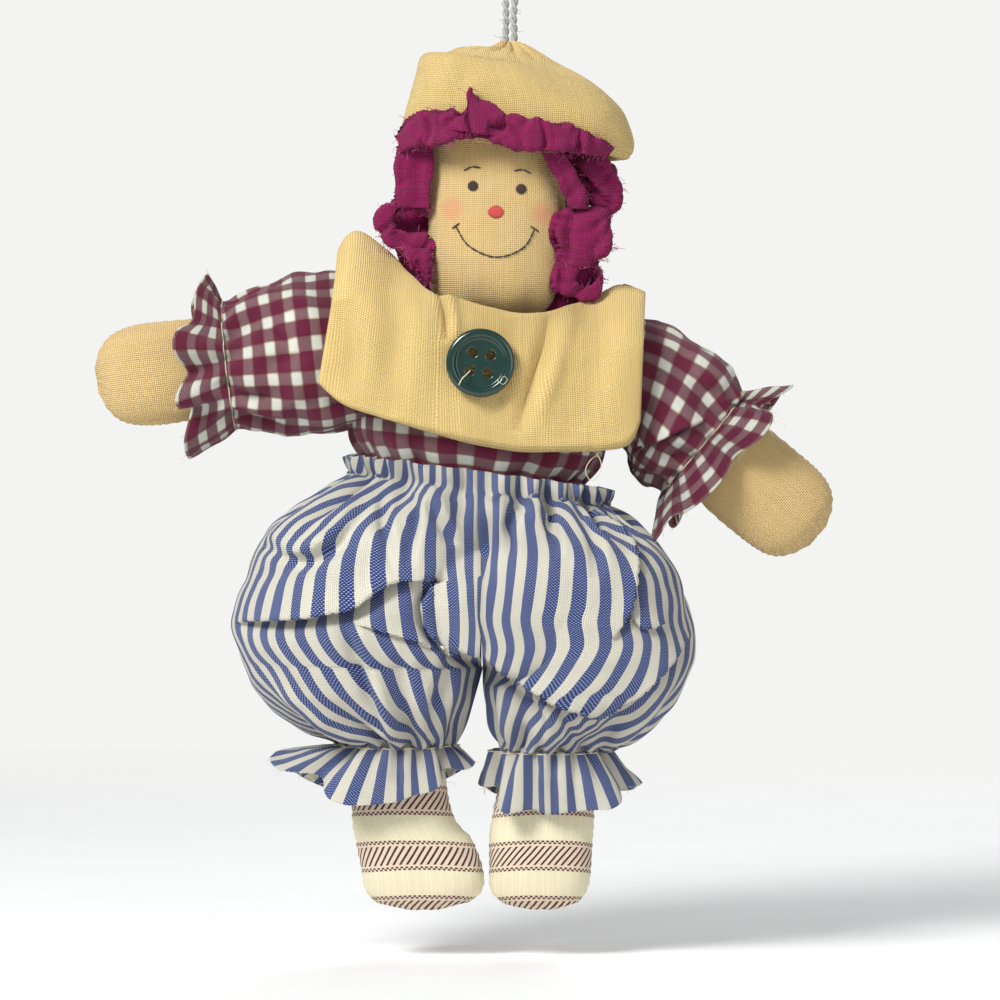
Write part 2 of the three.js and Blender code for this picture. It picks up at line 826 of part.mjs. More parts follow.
// [reach past the fold, broad, deep] as shares of the stuffed length and the half sizes
const armShares = [
  [0, 0.82, 1],
  [0.14, 0.86, 1],
  [0.26, 0.93, 1],
  [0.55, 1, 1],
  [0.78, 0.97, 0.95],
  [0.9, 0.82, 0.8],
  [0.97, 0.52, 0.5],
  [1, 0.2, 0.2],
];
function armSolid(arm) {
  const endHalf = (armShares[0][1] * armBroad) / 2;
  const rings = endTurns.map((turn) => {
    const centre = armPlace(arm, arm.bendReach - (armDeep / 2) * Math.cos(turn));
    return makeRing(centre, arm.across, endHalf, (armDeep / 2) * Math.sin(turn), softSides);
  });
  for (const [reachShare, broadShare, deepShare] of armShares) {
    const centre = armPlace(arm, blendShare(arm.bendReach, armReach, reachShare));
    const half = (broadShare * armBroad) / 2;
    rings.push(makeRing(centre, arm.across, half, (deepShare * armDeep) / 2, softSides));
  }
  return solidThrough(rings);
}

function armTopSolid(arm) {
  const ringAt = (reach, radius) =>
    makeRing(armPlace(arm, reach), arm.across, radius, radius, softSides, { power: roundPower });
  const rings = ballTurns
    .filter((turn) => turn <= 0)
    .map((turn) => ringAt(shoulderBall * Math.sin(turn), shoulderBall * Math.cos(turn)));
  rings.push(ringAt(arm.bendReach - armDeep / 2 - clearance, shoulderBall));
  return solidThrough(rings);
}

const wristHalf = (armShares[2][1] * armBroad) / 2 + clearance;
const wristDeep = (armShares[2][2] * armDeep) / 2 + clearance;
const gatherHalf = wristHalf + elasticThick + clearance + rippleHigh;
const gatherDeep = wristDeep + elasticThick + clearance + rippleHigh;

function wristElastic(arm) {
  const ringsAt = (grow) =>
    elasticOffsets.map((offset) => {
      const centre = armPlace(arm, wristReach + offset);
      return makeRing(centre, arm.across, wristHalf + grow, wristDeep + grow, softSides);
    });
  return tubeThrough(ringsAt(elasticThick), ringsAt(0));
}

// [reach, across, lean, broad, deep] as shares of wristReach, half of sleeveBroad, the arm's drop,
// and the sleeve's half sizes. The last row, at the gather, follows the elastic.
const sleeveShares = {
  left: [
    [0.12, 0, 0, 0.97, 0.8],
    [0.3, 0, 0, 1, 0.95],
    [0.55, 0, 0, 0.95, 1],
    [0.82, 0, 0, 0.83, 0.9],
  ],
  right: [
    [0.2, -0.08, 1, 0.86, 0.8],
    [0.48, -0.02, 0.5, 0.92, 0.97],
    [0.76, 0, 0.15, 0.88, 0.97],
    [0.9, 0, 0.05, 0.82, 0.88],
  ],
};
const sleeveFolds = 4;
const gatherEnd = wristReach + elasticBroad / 2;

function sleeveSolid(arm, shares) {
  const rows = shares.map(([reachShare, acrossShare, leanShare, broadShare, deepShare]) => [
    reachShare * wristReach,
    (acrossShare * sleeveBroad) / 2,
    leanShare * arm.drop,
    (broadShare * sleeveBroad) / 2,
    (deepShare * sleeveDeep) / 2,
  ]);
  rows.push([gatherEnd, 0, 0, gatherHalf + cloth, gatherDeep + cloth]);
  const ringsAt = (shrink) =>
    rows.map(([reach, across, lean, half, deep]) => {
      const broadWay = arm.across
        .clone()
        .multiplyScalar(Math.cos(lean))
        .addScaledVector(arm.along, -Math.sin(lean));
      const options = { ripple: rippleHigh, waves: sleeveFolds, turn: reach / elasticBroad };
      const centre = armPlace(arm, reach, across);
      return makeRing(centre, broadWay, half - shrink, deep - shrink, softSides, options);
    });
  return tubeThrough(ringsAt(0), ringsAt(cloth));
}

// A gathered frill round `centre`, past an elastic: it flares up, down and deep along its hem.
const frillSides = 20;
const frillWaves = 5;
const frillRings = 3;
const frillSkewShare = 0.7;
const frillHemWaveShare = 0.5;

function frillSolid(centre, along, across, innerHalf, innerDeep, hem) {
  const outer = [];
  const inner = [];
  for (let step = 0; step < frillRings; step += 1) {
    const share = step / (frillRings - 1);
    const outerRing = [];
    const innerRing = [];
    for (let side = 0; side < frillSides; side += 1) {
      const angle = (side / frillSides) * 2 * Math.PI;
      const cosine = Math.cos(angle);
      const sine = Math.sin(angle);
      const wave = frillWave * share * Math.cos(frillWaves * angle);
      const half = blendShare(innerHalf + cloth, cosine > 0 ? hem.up : hem.down, share) + wave;
      const deep = blendShare(innerDeep + cloth, hem.deep, share) + wave;
      const sideReach = cosine > 0 ? hem.reachUp : hem.reachDown;
      const hemReach = blendShare(hem.reachFront, sideReach, cosine * cosine);
      const reach = Math.max(share * hemReach + frillHemWaveShare * wave, 0);
      const outward = across.clone().multiplyScalar(cosine * half).addScaledVector(deepWay, sine * deep);
      const point = centre.clone().add(outward).addScaledVector(along, reach);
      outerRing.push(point);
      innerRing.push(
        point
          .clone()
          .addScaledVector(outward.normalize(), -cloth * frillSkewShare)
          .addScaledVector(along, cloth * frillSkewShare),
      );
    }
    outer.push(outerRing);
    inner.push(innerRing);
  }
  return tubeThrough(outer, inner);
}

const arms = {
  left: { frame: armFrame(-1, leftShoulderDown, leftArmDrop, leftBendReach), frill: leftFrill },
  right: { frame: armFrame(1, rightShoulderDown, rightArmDrop, rightBendReach), frill: rightFrill },
};

for (const [side, { frame, frill }] of Object.entries(arms)) {
  addPiece(`arm_top_${side}`, armTopSolid(frame), linen);
  addPiece(`arm_${side}`, armSolid(frame), linen);
  addPiece(`wrist_elastic_${side}`, wristElastic(frame), elasticColor);
  addPiece(`sleeve_${side}`, sleeveSolid(frame, sleeveShares[side]), checked);
  const frillStart = armPlace(frame, gatherEnd + clearance);
  addPiece(
    `sleeve_frill_${side}`,
    frillSolid(frillStart, frame.along, frame.across, gatherHalf, gatherDeep, frill),
    checked,
  );
}

// Legs: each is one stuffed piece with its boot, and its top is round about the hip

const downward = new THREE.Vector3(0, 0, -1);
const sideways = new THREE.Vector3(1, 0, 0);

function leanedAcross(lean) {
  return new THREE.Vector3(Math.cos(lean), 0, -Math.sin(lean));
}

// [down, left edge, right edge, deep] as shares of the boot's height, breadth and half depth
const bootShares = {
  left: [
    [0, 0, 0.76, 0.95],
    [0.28, 0.03, 0.91, 1],
    [0.57, 0.07, 0.985, 1],
    [0.8, 0.105, 0.98, 0.9],
    [0.93, 0.23, 0.85, 0.62],
    [1, 0.42, 0.66, 0.2],
  ],
  right: [
    [0, 0.05, 1, 0.95],
    [0.28, 0.01, 0.99, 1],
    [0.57, 0, 0.97, 1],
    [0.8, 0.03, 0.94, 0.9],
    [0.93, 0.18, 0.82, 0.62],
    [1, 0.4, 0.62, 0.2],
  ],
};
const bootPower = 2.6;
const hipBroadShare = 0.85;
const kneeShare = 0.5;
const legHalf = legBroad / 2;
const legRound = legDeep / 2;
const hipDown = torsoTall + clearance + legRound;

const legs = {
  left: {
    hip: torsoPlace(hipDown, -leftHipAcross),
    ankle: new THREE.Vector3(-leftAnkle, 0, peakHigh - leftAnkleUnderPeak),
    bootLeft: -leftBootLeft,
    bootBroad: leftBootBroad,
    frill: leftAnkleFrill,
  },
  right: {
    hip: torsoPlace(hipDown, rightHipAcross),
    ankle: new THREE.Vector3(rightAnkle, 0, peakHigh - rightAnkleUnderPeak),
    bootLeft: -rightBootLeft,
    bootBroad: rightBootBroad,
    frill: rightAnkleFrill,
  },
};

function legSolid({ hip, ankle, bootLeft, bootBroad }, shares) {
  const rings = endTurns.map((turn) => {
    const centre = hip.clone().addScaledVector(torsoDownward, -legRound * Math.cos(turn));
    return makeRing(centre, torsoAcross, hipBroadShare * legHalf, legRound * Math.sin(turn), softSides);
  });
  rings.push(makeRing(hip, torsoAcross, hipBroadShare * legHalf, legRound, softSides));
  const knee = hip.clone().lerp(ankle, kneeShare);
  rings.push(makeRing(knee, leanedAcross(torsoLean * kneeShare), legHalf, legRound, softSides));
  rings.push(makeRing(ankle, sideways, legHalf, legRound, softSides));
  for (const [downShare, leftShare, rightShare, deepShare] of shares) {
    const centre = new THREE.Vector3(
      bootLeft + (bootBroad * (leftShare + rightShare)) / 2,
      0,
      peakHigh - soleUnderPeak + bootTall * (1 - downShare),
    );
    const half = (bootBroad * (rightShare - leftShare)) / 2;
    rings.push(makeRing(centre, sideways, half, (deepShare * bootDeep) / 2, softSides, { power: bootPower }));
  }
  return solidThrough(rings);
}

const ankleHalf = legHalf + clearance;
const ankleDeep = legRound + clearance;
const cuffHalf = ankleHalf + elasticThick + clearance + rippleHigh;
const cuffDeep = ankleDeep + elasticThick + clearance + rippleHigh;

function ankleElastic({ ankle }) {
  const ringsAt = (grow) =>
    elasticOffsets.map((offset) => {
      const centre = ankle.clone().addScaledVector(downward, offset);
      return makeRing(centre, sideways, ankleHalf + grow, ankleDeep + grow, softSides);
    });
  return tubeThrough(ringsAt(elasticThick), ringsAt(0));
}

// Trousers: a left and a right panel that meet at the centre seam.
// [down, centre, broad, deep, lean] as shares of their height, breadth, half depth and the torso's lean.
const trouserShares = {
  left: [
    [0.215, 0.428, 0.293, 0.78, 0.7],
    [0.37, 0.362, 0.328, 0.93, 0.35],
    [0.585, 0.293, 0.293, 1, 0],
    [0.72, 0.284, 0.26, 0.98, 0],
    [0.86, 0.29, 0.225, 0.84, 0],
    [0.945, 0.322, 0.176, 0.62, 0],
  ],
  right: [
    [0.25, 0.59, 0.283, 0.8, 0.7],
    [0.4, 0.668, 0.297, 0.95, 0.35],
    [0.575, 0.723, 0.277, 1, 0],
    [0.73, 0.772, 0.224, 0.98, 0],
    [0.89, 0.745, 0.198, 0.8, 0],
    [0.96, 0.71, 0.163, 0.6, 0],
  ],
};
const trouserFolds = 4;
const trouserSteps = 2;
const headingTall = 3.4;
const headingFlare = 0.9;
const waistOut = waistHalf + elasticThick + clearance + rippleHigh + cloth;
const waistOutDeep = waistDeep + elasticThick + clearance + rippleHigh + cloth;

function trouserRows(leg, shares) {
  const headingTop = torsoPlace(waistDown - headingTall);
  const waist = torsoPlace(waistDown);
  const rows = [
    [headingTop.x, headingTop.z, waistOut + headingFlare, waistOutDeep + headingFlare, torsoLean, rippleHigh],
    [waist.x, waist.z, waistOut, waistOutDeep, torsoLean, rippleHigh],
  ];
  for (const [downShare, centreShare, broadShare, deepShare, leanShare] of shares) {
    rows.push([
      -trousersLeft + centreShare * trousersBroad,
      peakHigh - trousersUnderPeak - downShare * trousersTall,
      broadShare * trousersBroad,
      (deepShare * trousersDeep) / 2,
      leanShare * torsoLean,
      foldHigh,
    ]);
  }
  const cuffHigh = leg.ankle.z - elasticBroad / 2;
  rows.push([leg.ankle.x, cuffHigh, cuffHalf + cloth, cuffDeep + cloth, 0, rippleHigh]);
  return rows;
}

function trouserPanel(leg, shares, side) {
  const ringsAt = (shrink) =>
    smoothRows(trouserRows(leg, shares), trouserSteps).map(([across, high, half, deep, lean, ripple]) => {
      const options = { ripple, waves: trouserFolds, turn: (high - peakHigh) / trousersDeep };
      const centre = new THREE.Vector3(across, 0, high);
      return makeRing(centre, leanedAcross(lean), half - shrink, deep - shrink, softSides, options);
    });
  const seam = -centreSeamLeft - (side * clearance) / 2;
  return cut(tubeThrough(ringsAt(0), ringsAt(cloth)), wallBeside(seam, side));
}

const panelSides = { left: 1, right: -1 };
for (const [side, leg] of Object.entries(legs)) {
  addPiece(`leg_${side}`, legSolid(leg, bootShares[side]), striped);
  addPiece(`ankle_elastic_${side}`, ankleElastic(leg), elasticColor);
  addPiece(`trousers_${side}`, trouserPanel(leg, trouserShares[side], panelSides[side]), ticking);
  const frillStart = leg.ankle.clone().addScaledVector(downward, elasticBroad / 2 + clearance);
  const frill = frillSolid(frillStart, downward, sideways, cuffHalf, cuffDeep, leg.frill);
  addPiece(`trouser_frill_${side}`, frill, ticking);
}

export default doll;
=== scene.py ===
"""Rag doll that hangs from a twine loop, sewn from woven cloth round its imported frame.

Metres, +Z up. The doll faces -Y, and left is the -X side, as seen from the front.
"""

from __future__ import annotations

import logging
import math
import random
from abc import ABC, abstractmethod
from collections.abc import Callable, Sequence
from dataclasses import dataclass, replace
from enum import Enum

import bpy
import numpy as np
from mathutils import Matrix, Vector, noise
from mathutils.bvhtree import BVHTree

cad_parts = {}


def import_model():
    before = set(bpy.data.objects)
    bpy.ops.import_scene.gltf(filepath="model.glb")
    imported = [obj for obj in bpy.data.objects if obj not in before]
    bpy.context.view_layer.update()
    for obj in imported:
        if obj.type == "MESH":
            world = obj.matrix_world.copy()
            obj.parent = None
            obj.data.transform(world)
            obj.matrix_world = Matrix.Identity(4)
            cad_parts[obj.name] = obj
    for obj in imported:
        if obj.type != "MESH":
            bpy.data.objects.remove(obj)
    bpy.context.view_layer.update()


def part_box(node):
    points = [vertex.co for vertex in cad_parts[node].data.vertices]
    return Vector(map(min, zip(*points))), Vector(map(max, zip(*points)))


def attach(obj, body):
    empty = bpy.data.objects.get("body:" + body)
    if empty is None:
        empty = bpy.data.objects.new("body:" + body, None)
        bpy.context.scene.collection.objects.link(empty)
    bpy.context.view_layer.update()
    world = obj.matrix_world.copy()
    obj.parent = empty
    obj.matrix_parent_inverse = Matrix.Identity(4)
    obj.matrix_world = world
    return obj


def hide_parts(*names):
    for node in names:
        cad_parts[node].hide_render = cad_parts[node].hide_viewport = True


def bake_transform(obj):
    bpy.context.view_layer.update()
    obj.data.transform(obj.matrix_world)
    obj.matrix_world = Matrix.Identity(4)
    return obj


LOG = logging.getLogger("rag_doll")
MM = 0.001
SEED = 11
BACK = np.array([0.0, 1.0, 0.0])
THREAD_HELPER = np.array([0.31, 0.87, 0.38])

Array = np.ndarray
Object = bpy.types.Object
Point = tuple[float, float, float]
Route = Sequence[tuple[float, float]]
Rows = tuple[tuple[float, ...], ...]
Colour = tuple[int, int, int]


# Places in the photograph's frame


@dataclass(frozen=True)
class PhotoPlane:
    """The doll's own plane, y = 0, as the photograph's frame shows it, and the camera before it."""

    pixel: float = 0.235 * MM
    middle_px: float = 515.0
    peak_px: float = 41.0
    peak_high: float = -75 * MM
    frame_px: float = 1000.0
    lens: float = 150.0
    sensor: float = 36.0

    @property
    def away(self) -> float:
        """How far the camera is from the plane."""
        return self.frame_px * self.pixel * self.lens / self.sensor

    @property
    def eye(self) -> Array:
        """The camera's place."""
        return self.flat(self.frame_px / 2, self.frame_px / 2) - self.away * BACK

    def flat(self, px: float, py: float) -> Array:
        """The plane's point behind one pixel."""
        return np.array([(px - self.middle_px) * self.pixel, 0.0, self.peak_high - (py - self.peak_px) * self.pixel])

    def drawn(self, flat: Array, y: Array | float) -> Array:
        """Points of the plane, drawn along the camera's sight to their places along Y."""
        return self.eye + (flat - self.eye) * (1 + y / self.away)

    def at(self, px: float, py: float, y: float = 0.0) -> Array:
        """The point that one pixel shows, at its place along Y."""
        return self.drawn(self.flat(px, py), y)

    def line(self, route_px: Route) -> Array:
        """The plane's points behind several pixels."""
        return np.array([self.at(px, py) for px, py in route_px])

    def seen(self, points: Array) -> Array:
        """Where the plane shows the points: their x and z as the camera sees them."""
        middle = self.eye[[0, 2]]
        return middle + (points[..., [0, 2]] - middle) / (1 + points[..., 1:2] / self.away)

    def settled(self, points: Array) -> Array:
        """Points moved so that the camera sees them where they stood in x and z."""
        return self.drawn(points * (1 - BACK), points[..., 1:2])

    def pixels(self, points: Array) -> tuple[Array, Array]:
        """The pixels where the camera sees the points."""
        seen = self.seen(points)
        return self.middle_px + seen[..., 0] / self.pixel, self.peak_px + (self.peak_high - seen[..., 1]) / self.pixel


PLANE = PhotoPlane()


# Curves, rings and skins


def smooth_rows(rows: Sequence[Sequence[float]] | Array, count: int) -> Array:
    """Catmull-Rom through rows of numbers.

    Args:
        rows: The rows that the result passes through.
        count: How many rows the result has.

    Returns:
        An array of count rows, the first and last as given.
    """
    given = np.asarray(rows, float)
    padded = np.vstack([given[:1], given, given[-1:]])
    at = np.linspace(0, len(given) - 1, count)
    span = np.minimum(at.astype(int), len(given) - 2)
    share = (at - span)[:, None]
    before, start, end, after = (padded[span + step] for step in range(4))
    return 0.5 * (
        2 * start
        + (end - before) * share
        + (2 * before - 5 * start + 4 * end - after) * share**2
        + (3 * start - before - 3 * end + after) * share**3
    )


def run_along(points: Array) -> Array:
    """How far along a line each of its points lies."""
    return np.concatenate([[0.0], np.cumsum(np.linalg.norm(np.diff(points, axis=0), axis=1))])


def even_route(points: Array, count: int) -> Array:
    """Even steps along a smooth line.

    Args:
        points: The points that the line passes through.
        count: How many points the result has.

    Returns:
        The result's points.
    """
    dense = smooth_rows(points, 24 * len(points))
    lengths = run_along(dense)
    wanted = np.linspace(0, lengths[-1], count)
    return np.stack([np.interp(wanted, lengths, dense[:, axis]) for axis in range(3)], axis=1)


def smooth_step(low: float, high: float, value: Array) -> Array:
    """0 below low, 1 above high and smooth between them."""
    share = np.clip((value - low) / (high - low), 0, 1)
    return share * share * (3 - 2 * share)


def bump_at(value: Array, middle: float, wide: float) -> Array:
    """A round bump of height 1 at middle."""
    return np.exp(-(((value - middle) / wide) ** 2))


def unit(vectors: Array) -> Array:
    """The same directions at length 1."""
    return vectors / np.maximum(np.linalg.norm(vectors, axis=-1, keepdims=True), 1e-12)


def rumple(points: Array, size: float, seed: int) -> Array:
    """Smooth noise from about -1 to 1 at each point.

    Args:
        points: An array whose last axis is x, y, z.
        size: The noise's grain in metres.
        seed: Which of many noises it is.

    Returns:
        One value a point.
    """
    offset = Vector((17.3 * seed, 5.1 * seed, -9.7 * seed))
    flat = points.reshape(-1, 3) / size
    values = [noise.noise(Vector(point) + offset) for point in flat]
    return np.array(values).reshape(points.shape[:-1])


def facets(points: Array, size: float, seed: int) -> Array:
    """Flat facets with narrow valleys between them, as in crumpled cloth.

    Args:
        points: An array whose last axis is x, y, z.
        size: The usual size of a facet in metres.
        seed: Which of many sets of facets it is.

    Returns:
        One value a point, 0 in the valleys and 1 on the facets.
    """
    offset = Vector((3.1 * seed, 7.7 * seed, -2.3 * seed))
    nearest = [noise.voronoi(Vector(point) + offset)[0] for point in points.reshape(-1, 3) / size]
    values = np.array([second - first for first, second, *_ in nearest])
    return smooth_step(0.0, 0.42, values.reshape(points.shape[:-1]))


def ring(
    centre: Array, across: Array, half: float, deep: float, angles: Array, power: float = 2.2
) -> Array:
    """Points of a flattened round ring.

    Args:
        centre: The ring's middle.
        across: Its broad direction.
        half: Half its breadth.
        deep: Half its depth, along Y.
        angles: 0 at +across, pi / 2 at the back, 3 pi / 2 at the front.
        power: 2 is an ellipse, and more is squarer.

    Returns:
        One point an angle.
    """
    cosine, sine = np.cos(angles), np.sin(angles)
    broad = np.sign(cosine) * np.abs(cosine) ** (2 / power) * half
    depth = np.sign(sine) * np.abs(sine) ** (2 / power) * deep
    return centre + broad[:, None] * across + depth[:, None] * BACK


def turn_round(count: int) -> Array:
    """Angles once round from the middle of the back, so that the front's middle is half way."""
    return math.pi / 2 + 2 * math.pi * np.arange(count) / count


def side_seam(angles: Array, wide: float) -> Array:
    """1 at both sides of a ring, where a stuffed piece's seam runs, and 0 elsewhere."""
    return bump_at(np.abs(np.cos(angles)), 1, wide)[None, :]


def corners(grid: Array) -> Array:
    """A grid's values at the four corners of each of its faces, in order round the face."""
    return np.stack([grid[:-1, :-1], grid[:-1, 1:], grid[1:, 1:], grid[1:, :-1]], axis=2)


@dataclass
class Skin:
    """A grid of cloth: where each point lies, and its place on the flat cloth in metres."""

    points: Array
    closed: bool = True
    flat: Array | None = None

    def wrapped(self, grid: Array) -> Array:
        """A grid of the skin's values, with its first column again at the end where it closes."""
        return np.concatenate([grid, grid[:, :1]], axis=1) if self.closed else grid

    def normals(self) -> Array:
        """The way out at each point.

        Returns:
            The directions away from the middle of each row, or forward on an open panel.
        """
        if self.closed:
            around = np.roll(self.points, -1, 1) - np.roll(self.points, 1, 1)
            outward = self.points - self.points.mean(axis=1, keepdims=True)
        else:
            around = np.gradient(self.points, axis=1)
            outward = self.points - self.points.mean(axis=(0, 1), keepdims=True)
        normal = unit(np.cross(around, np.gradient(self.points, axis=0)))
        return normal if (normal * outward).sum() > 0 else -normal

    def push(self, amount: Array) -> None:
        """Moves each point out by its own amount."""
        self.points = self.points + self.normals() * amount[..., None]

    def lay_flat(self, width: float | None = None, length: float | None = None) -> None:
        """Gives each point its place on the flat cloth.

        Args:
            width: The flat cloth's width, or None to measure it round each row from the front's middle.
            length: Its length, or None to measure it down the rows.
        """
        wrapped = self.wrapped(self.points)
        rows, count = wrapped.shape[:2]
        if width is None:
            steps = np.linalg.norm(np.diff(wrapped, axis=1), axis=2)
            u = np.concatenate([np.zeros((rows, 1)), np.cumsum(steps, axis=1)], axis=1)
            u = u - u[:, count // 2][:, None]
        else:
            u = np.tile(np.linspace(0, width, count), (rows, 1))
        steps = np.linalg.norm(np.diff(self.points, axis=0), axis=2).mean(axis=1)
        v = np.concatenate([[0.0], np.cumsum(steps)])
        if length is not None:
            v = v * length / v[-1]
        self.flat = np.stack([u, np.tile(v[:, None], (1, count))], axis=2)

    def build(self, name: str, caps: bool = False, rims: Sequence[Sequence[int]] = ()) -> Object:
        """Makes the mesh object.

        Args:
            name: The object's name.
            caps: Whether its first and last row are closed by fans.
            rims: More faces, by their points' numbers, on an open skin.

        Returns:
            The object, with smooth faces that face outward and a Flat UV map in metres.
        """
        rows, columns = self.points.shape[:2]
        if self.flat is None:
            self.lay_flat()
        index = self.wrapped(np.arange(rows * columns).reshape(rows, columns))
        vertices = self.points.reshape(-1, 3).tolist()
        faces = corners(index).reshape(-1, 4).tolist() + [list(rim) for rim in rims]
        flats = [corners(self.flat).reshape(-1, 2)]
        if len(rims):
            flats.append(self.flat.reshape(-1, 2)[np.ravel(rims)])
        for row, order in ((0, -1), (rows - 1, 1)) if caps else ():
            rim, flat_rim = index[row, ::order], self.flat[row, ::order]
            faces += [(int(a), int(b), len(vertices)) for a, b in zip(rim, rim[1:])]
            vertices.append(self.points[row].mean(axis=0).tolist())
            middle = np.tile(self.flat[row].mean(axis=0), (columns, 1))
            flats.append(np.stack([flat_rim[:-1], flat_rim[1:], middle], axis=1).reshape(-1, 2))
        obj = mesh_object(name, vertices, faces, np.concatenate(flats))
        face_outward(obj)
        return obj


def linked(name: str, data: bpy.types.ID) -> Object:
    """A new object of the scene, from its data."""
    bpy.context.scene.collection.objects.link(obj := bpy.data.objects.new(name, data))
    return obj


def mesh_object(name: str, vertices: Sequence, faces: Sequence, flats: Array | None = None) -> Object:
    """A linked mesh object with smooth faces.

    Args:
        name: Its name.
        vertices: Its points.
        faces: Its faces, by their points' numbers.
        flats: Each face corner's place on the flat cloth, for the Flat UV map.

    Returns:
        The object.
    """
    mesh = bpy.data.meshes.new(name)
    mesh.from_pydata(vertices, [], faces)
    mesh.polygons.foreach_set("use_smooth", [True] * len(mesh.polygons))
    if flats is not None:
        mesh.uv_layers.new(name="Flat").data.foreach_set("uv", flats.astype(np.float32).ravel())
    return linked(name, mesh)


def face_outward(obj: Object) -> None:
    """Turns a mesh's faces over if most of them face its middle.

    Args:
        obj: The mesh object.
    """
    mesh = obj.data
    middle = sum((vertex.co for vertex in mesh.vertices), Vector()) / len(mesh.vertices)
    if sum((face.center - middle).dot(face.normal) * face.area for face in mesh.polygons) < 0:
        mesh.flip_normals()


def tube_mesh(name: str, lines: Sequence[Array], radii: Sequence[float], sides: int = 5) -> Object:
    """One mesh of several round threads.

    Args:
        name: The object's name.
        lines: Each thread's points.
        radii: Each thread's radius.
        sides: Corners of a thread's section.

    Returns:
        The mesh object.
    """
    vertices, faces, flats = [], [], []
    angles = 2 * math.pi * np.arange(sides)[:, None] / sides
    for points, radius in zip(lines, radii):
        tangent = unit(np.gradient(points, axis=0))
        side = unit(np.cross(tangent, THREAD_HELPER))
        up = np.cross(tangent, side)
        ways = np.cos(angles) * side[:, None] + np.sin(angles) * up[:, None]
        swell = np.full((len(points), 1, 1), radius)
        swell[[0, -1]] *= 0.35
        index = len(vertices) + np.arange(len(points) * sides).reshape(-1, sides)
        vertices += (points[:, None] + swell * ways).reshape(-1, 3).tolist()
        faces += corners(np.hstack([index, index[:, :1]])).reshape(-1, 4).tolist()
        faces += [index[0, ::-1].tolist(), index[-1].tolist()]
        flat = np.dstack(np.meshgrid(radius * np.arange(sides + 1), run_along(points)))
        flats += [corners(flat).reshape(-1, 2), np.zeros((2 * sides, 2))]
    return mesh_object(name, vertices, faces, np.concatenate(flats))


# Finishes


def linear(red: int, green: int, blue: int) -> tuple[float, float, float, float]:
    """The shader's colour for one on screen, each part from 0 to 255."""
    parts = (red / 255, green / 255, blue / 255)
    return (*(part / 12.92 if part <= 0.04045 else ((part + 0.055) / 1.055) ** 2.4 for part in parts), 1.0)


def operator(name: str) -> Callable[[Signal, Value], Signal]:
    """The operator that adds a Math node with this operation's name."""
    return lambda first, second: first.graph.math(name, first, second)


@dataclass(frozen=True)
class Signal:
    """One value in a node tree, which adds, multiplies and compares as a number does."""

    graph: Graph
    socket: bpy.types.NodeSocket

    __add__, __sub__, __mul__, __truediv__ = map(operator, ("ADD", "SUBTRACT", "MULTIPLY", "DIVIDE"))
    __gt__, __lt__ = map(operator, ("GREATER_THAN", "LESS_THAN"))


Value = Signal | float | tuple[float, ...]


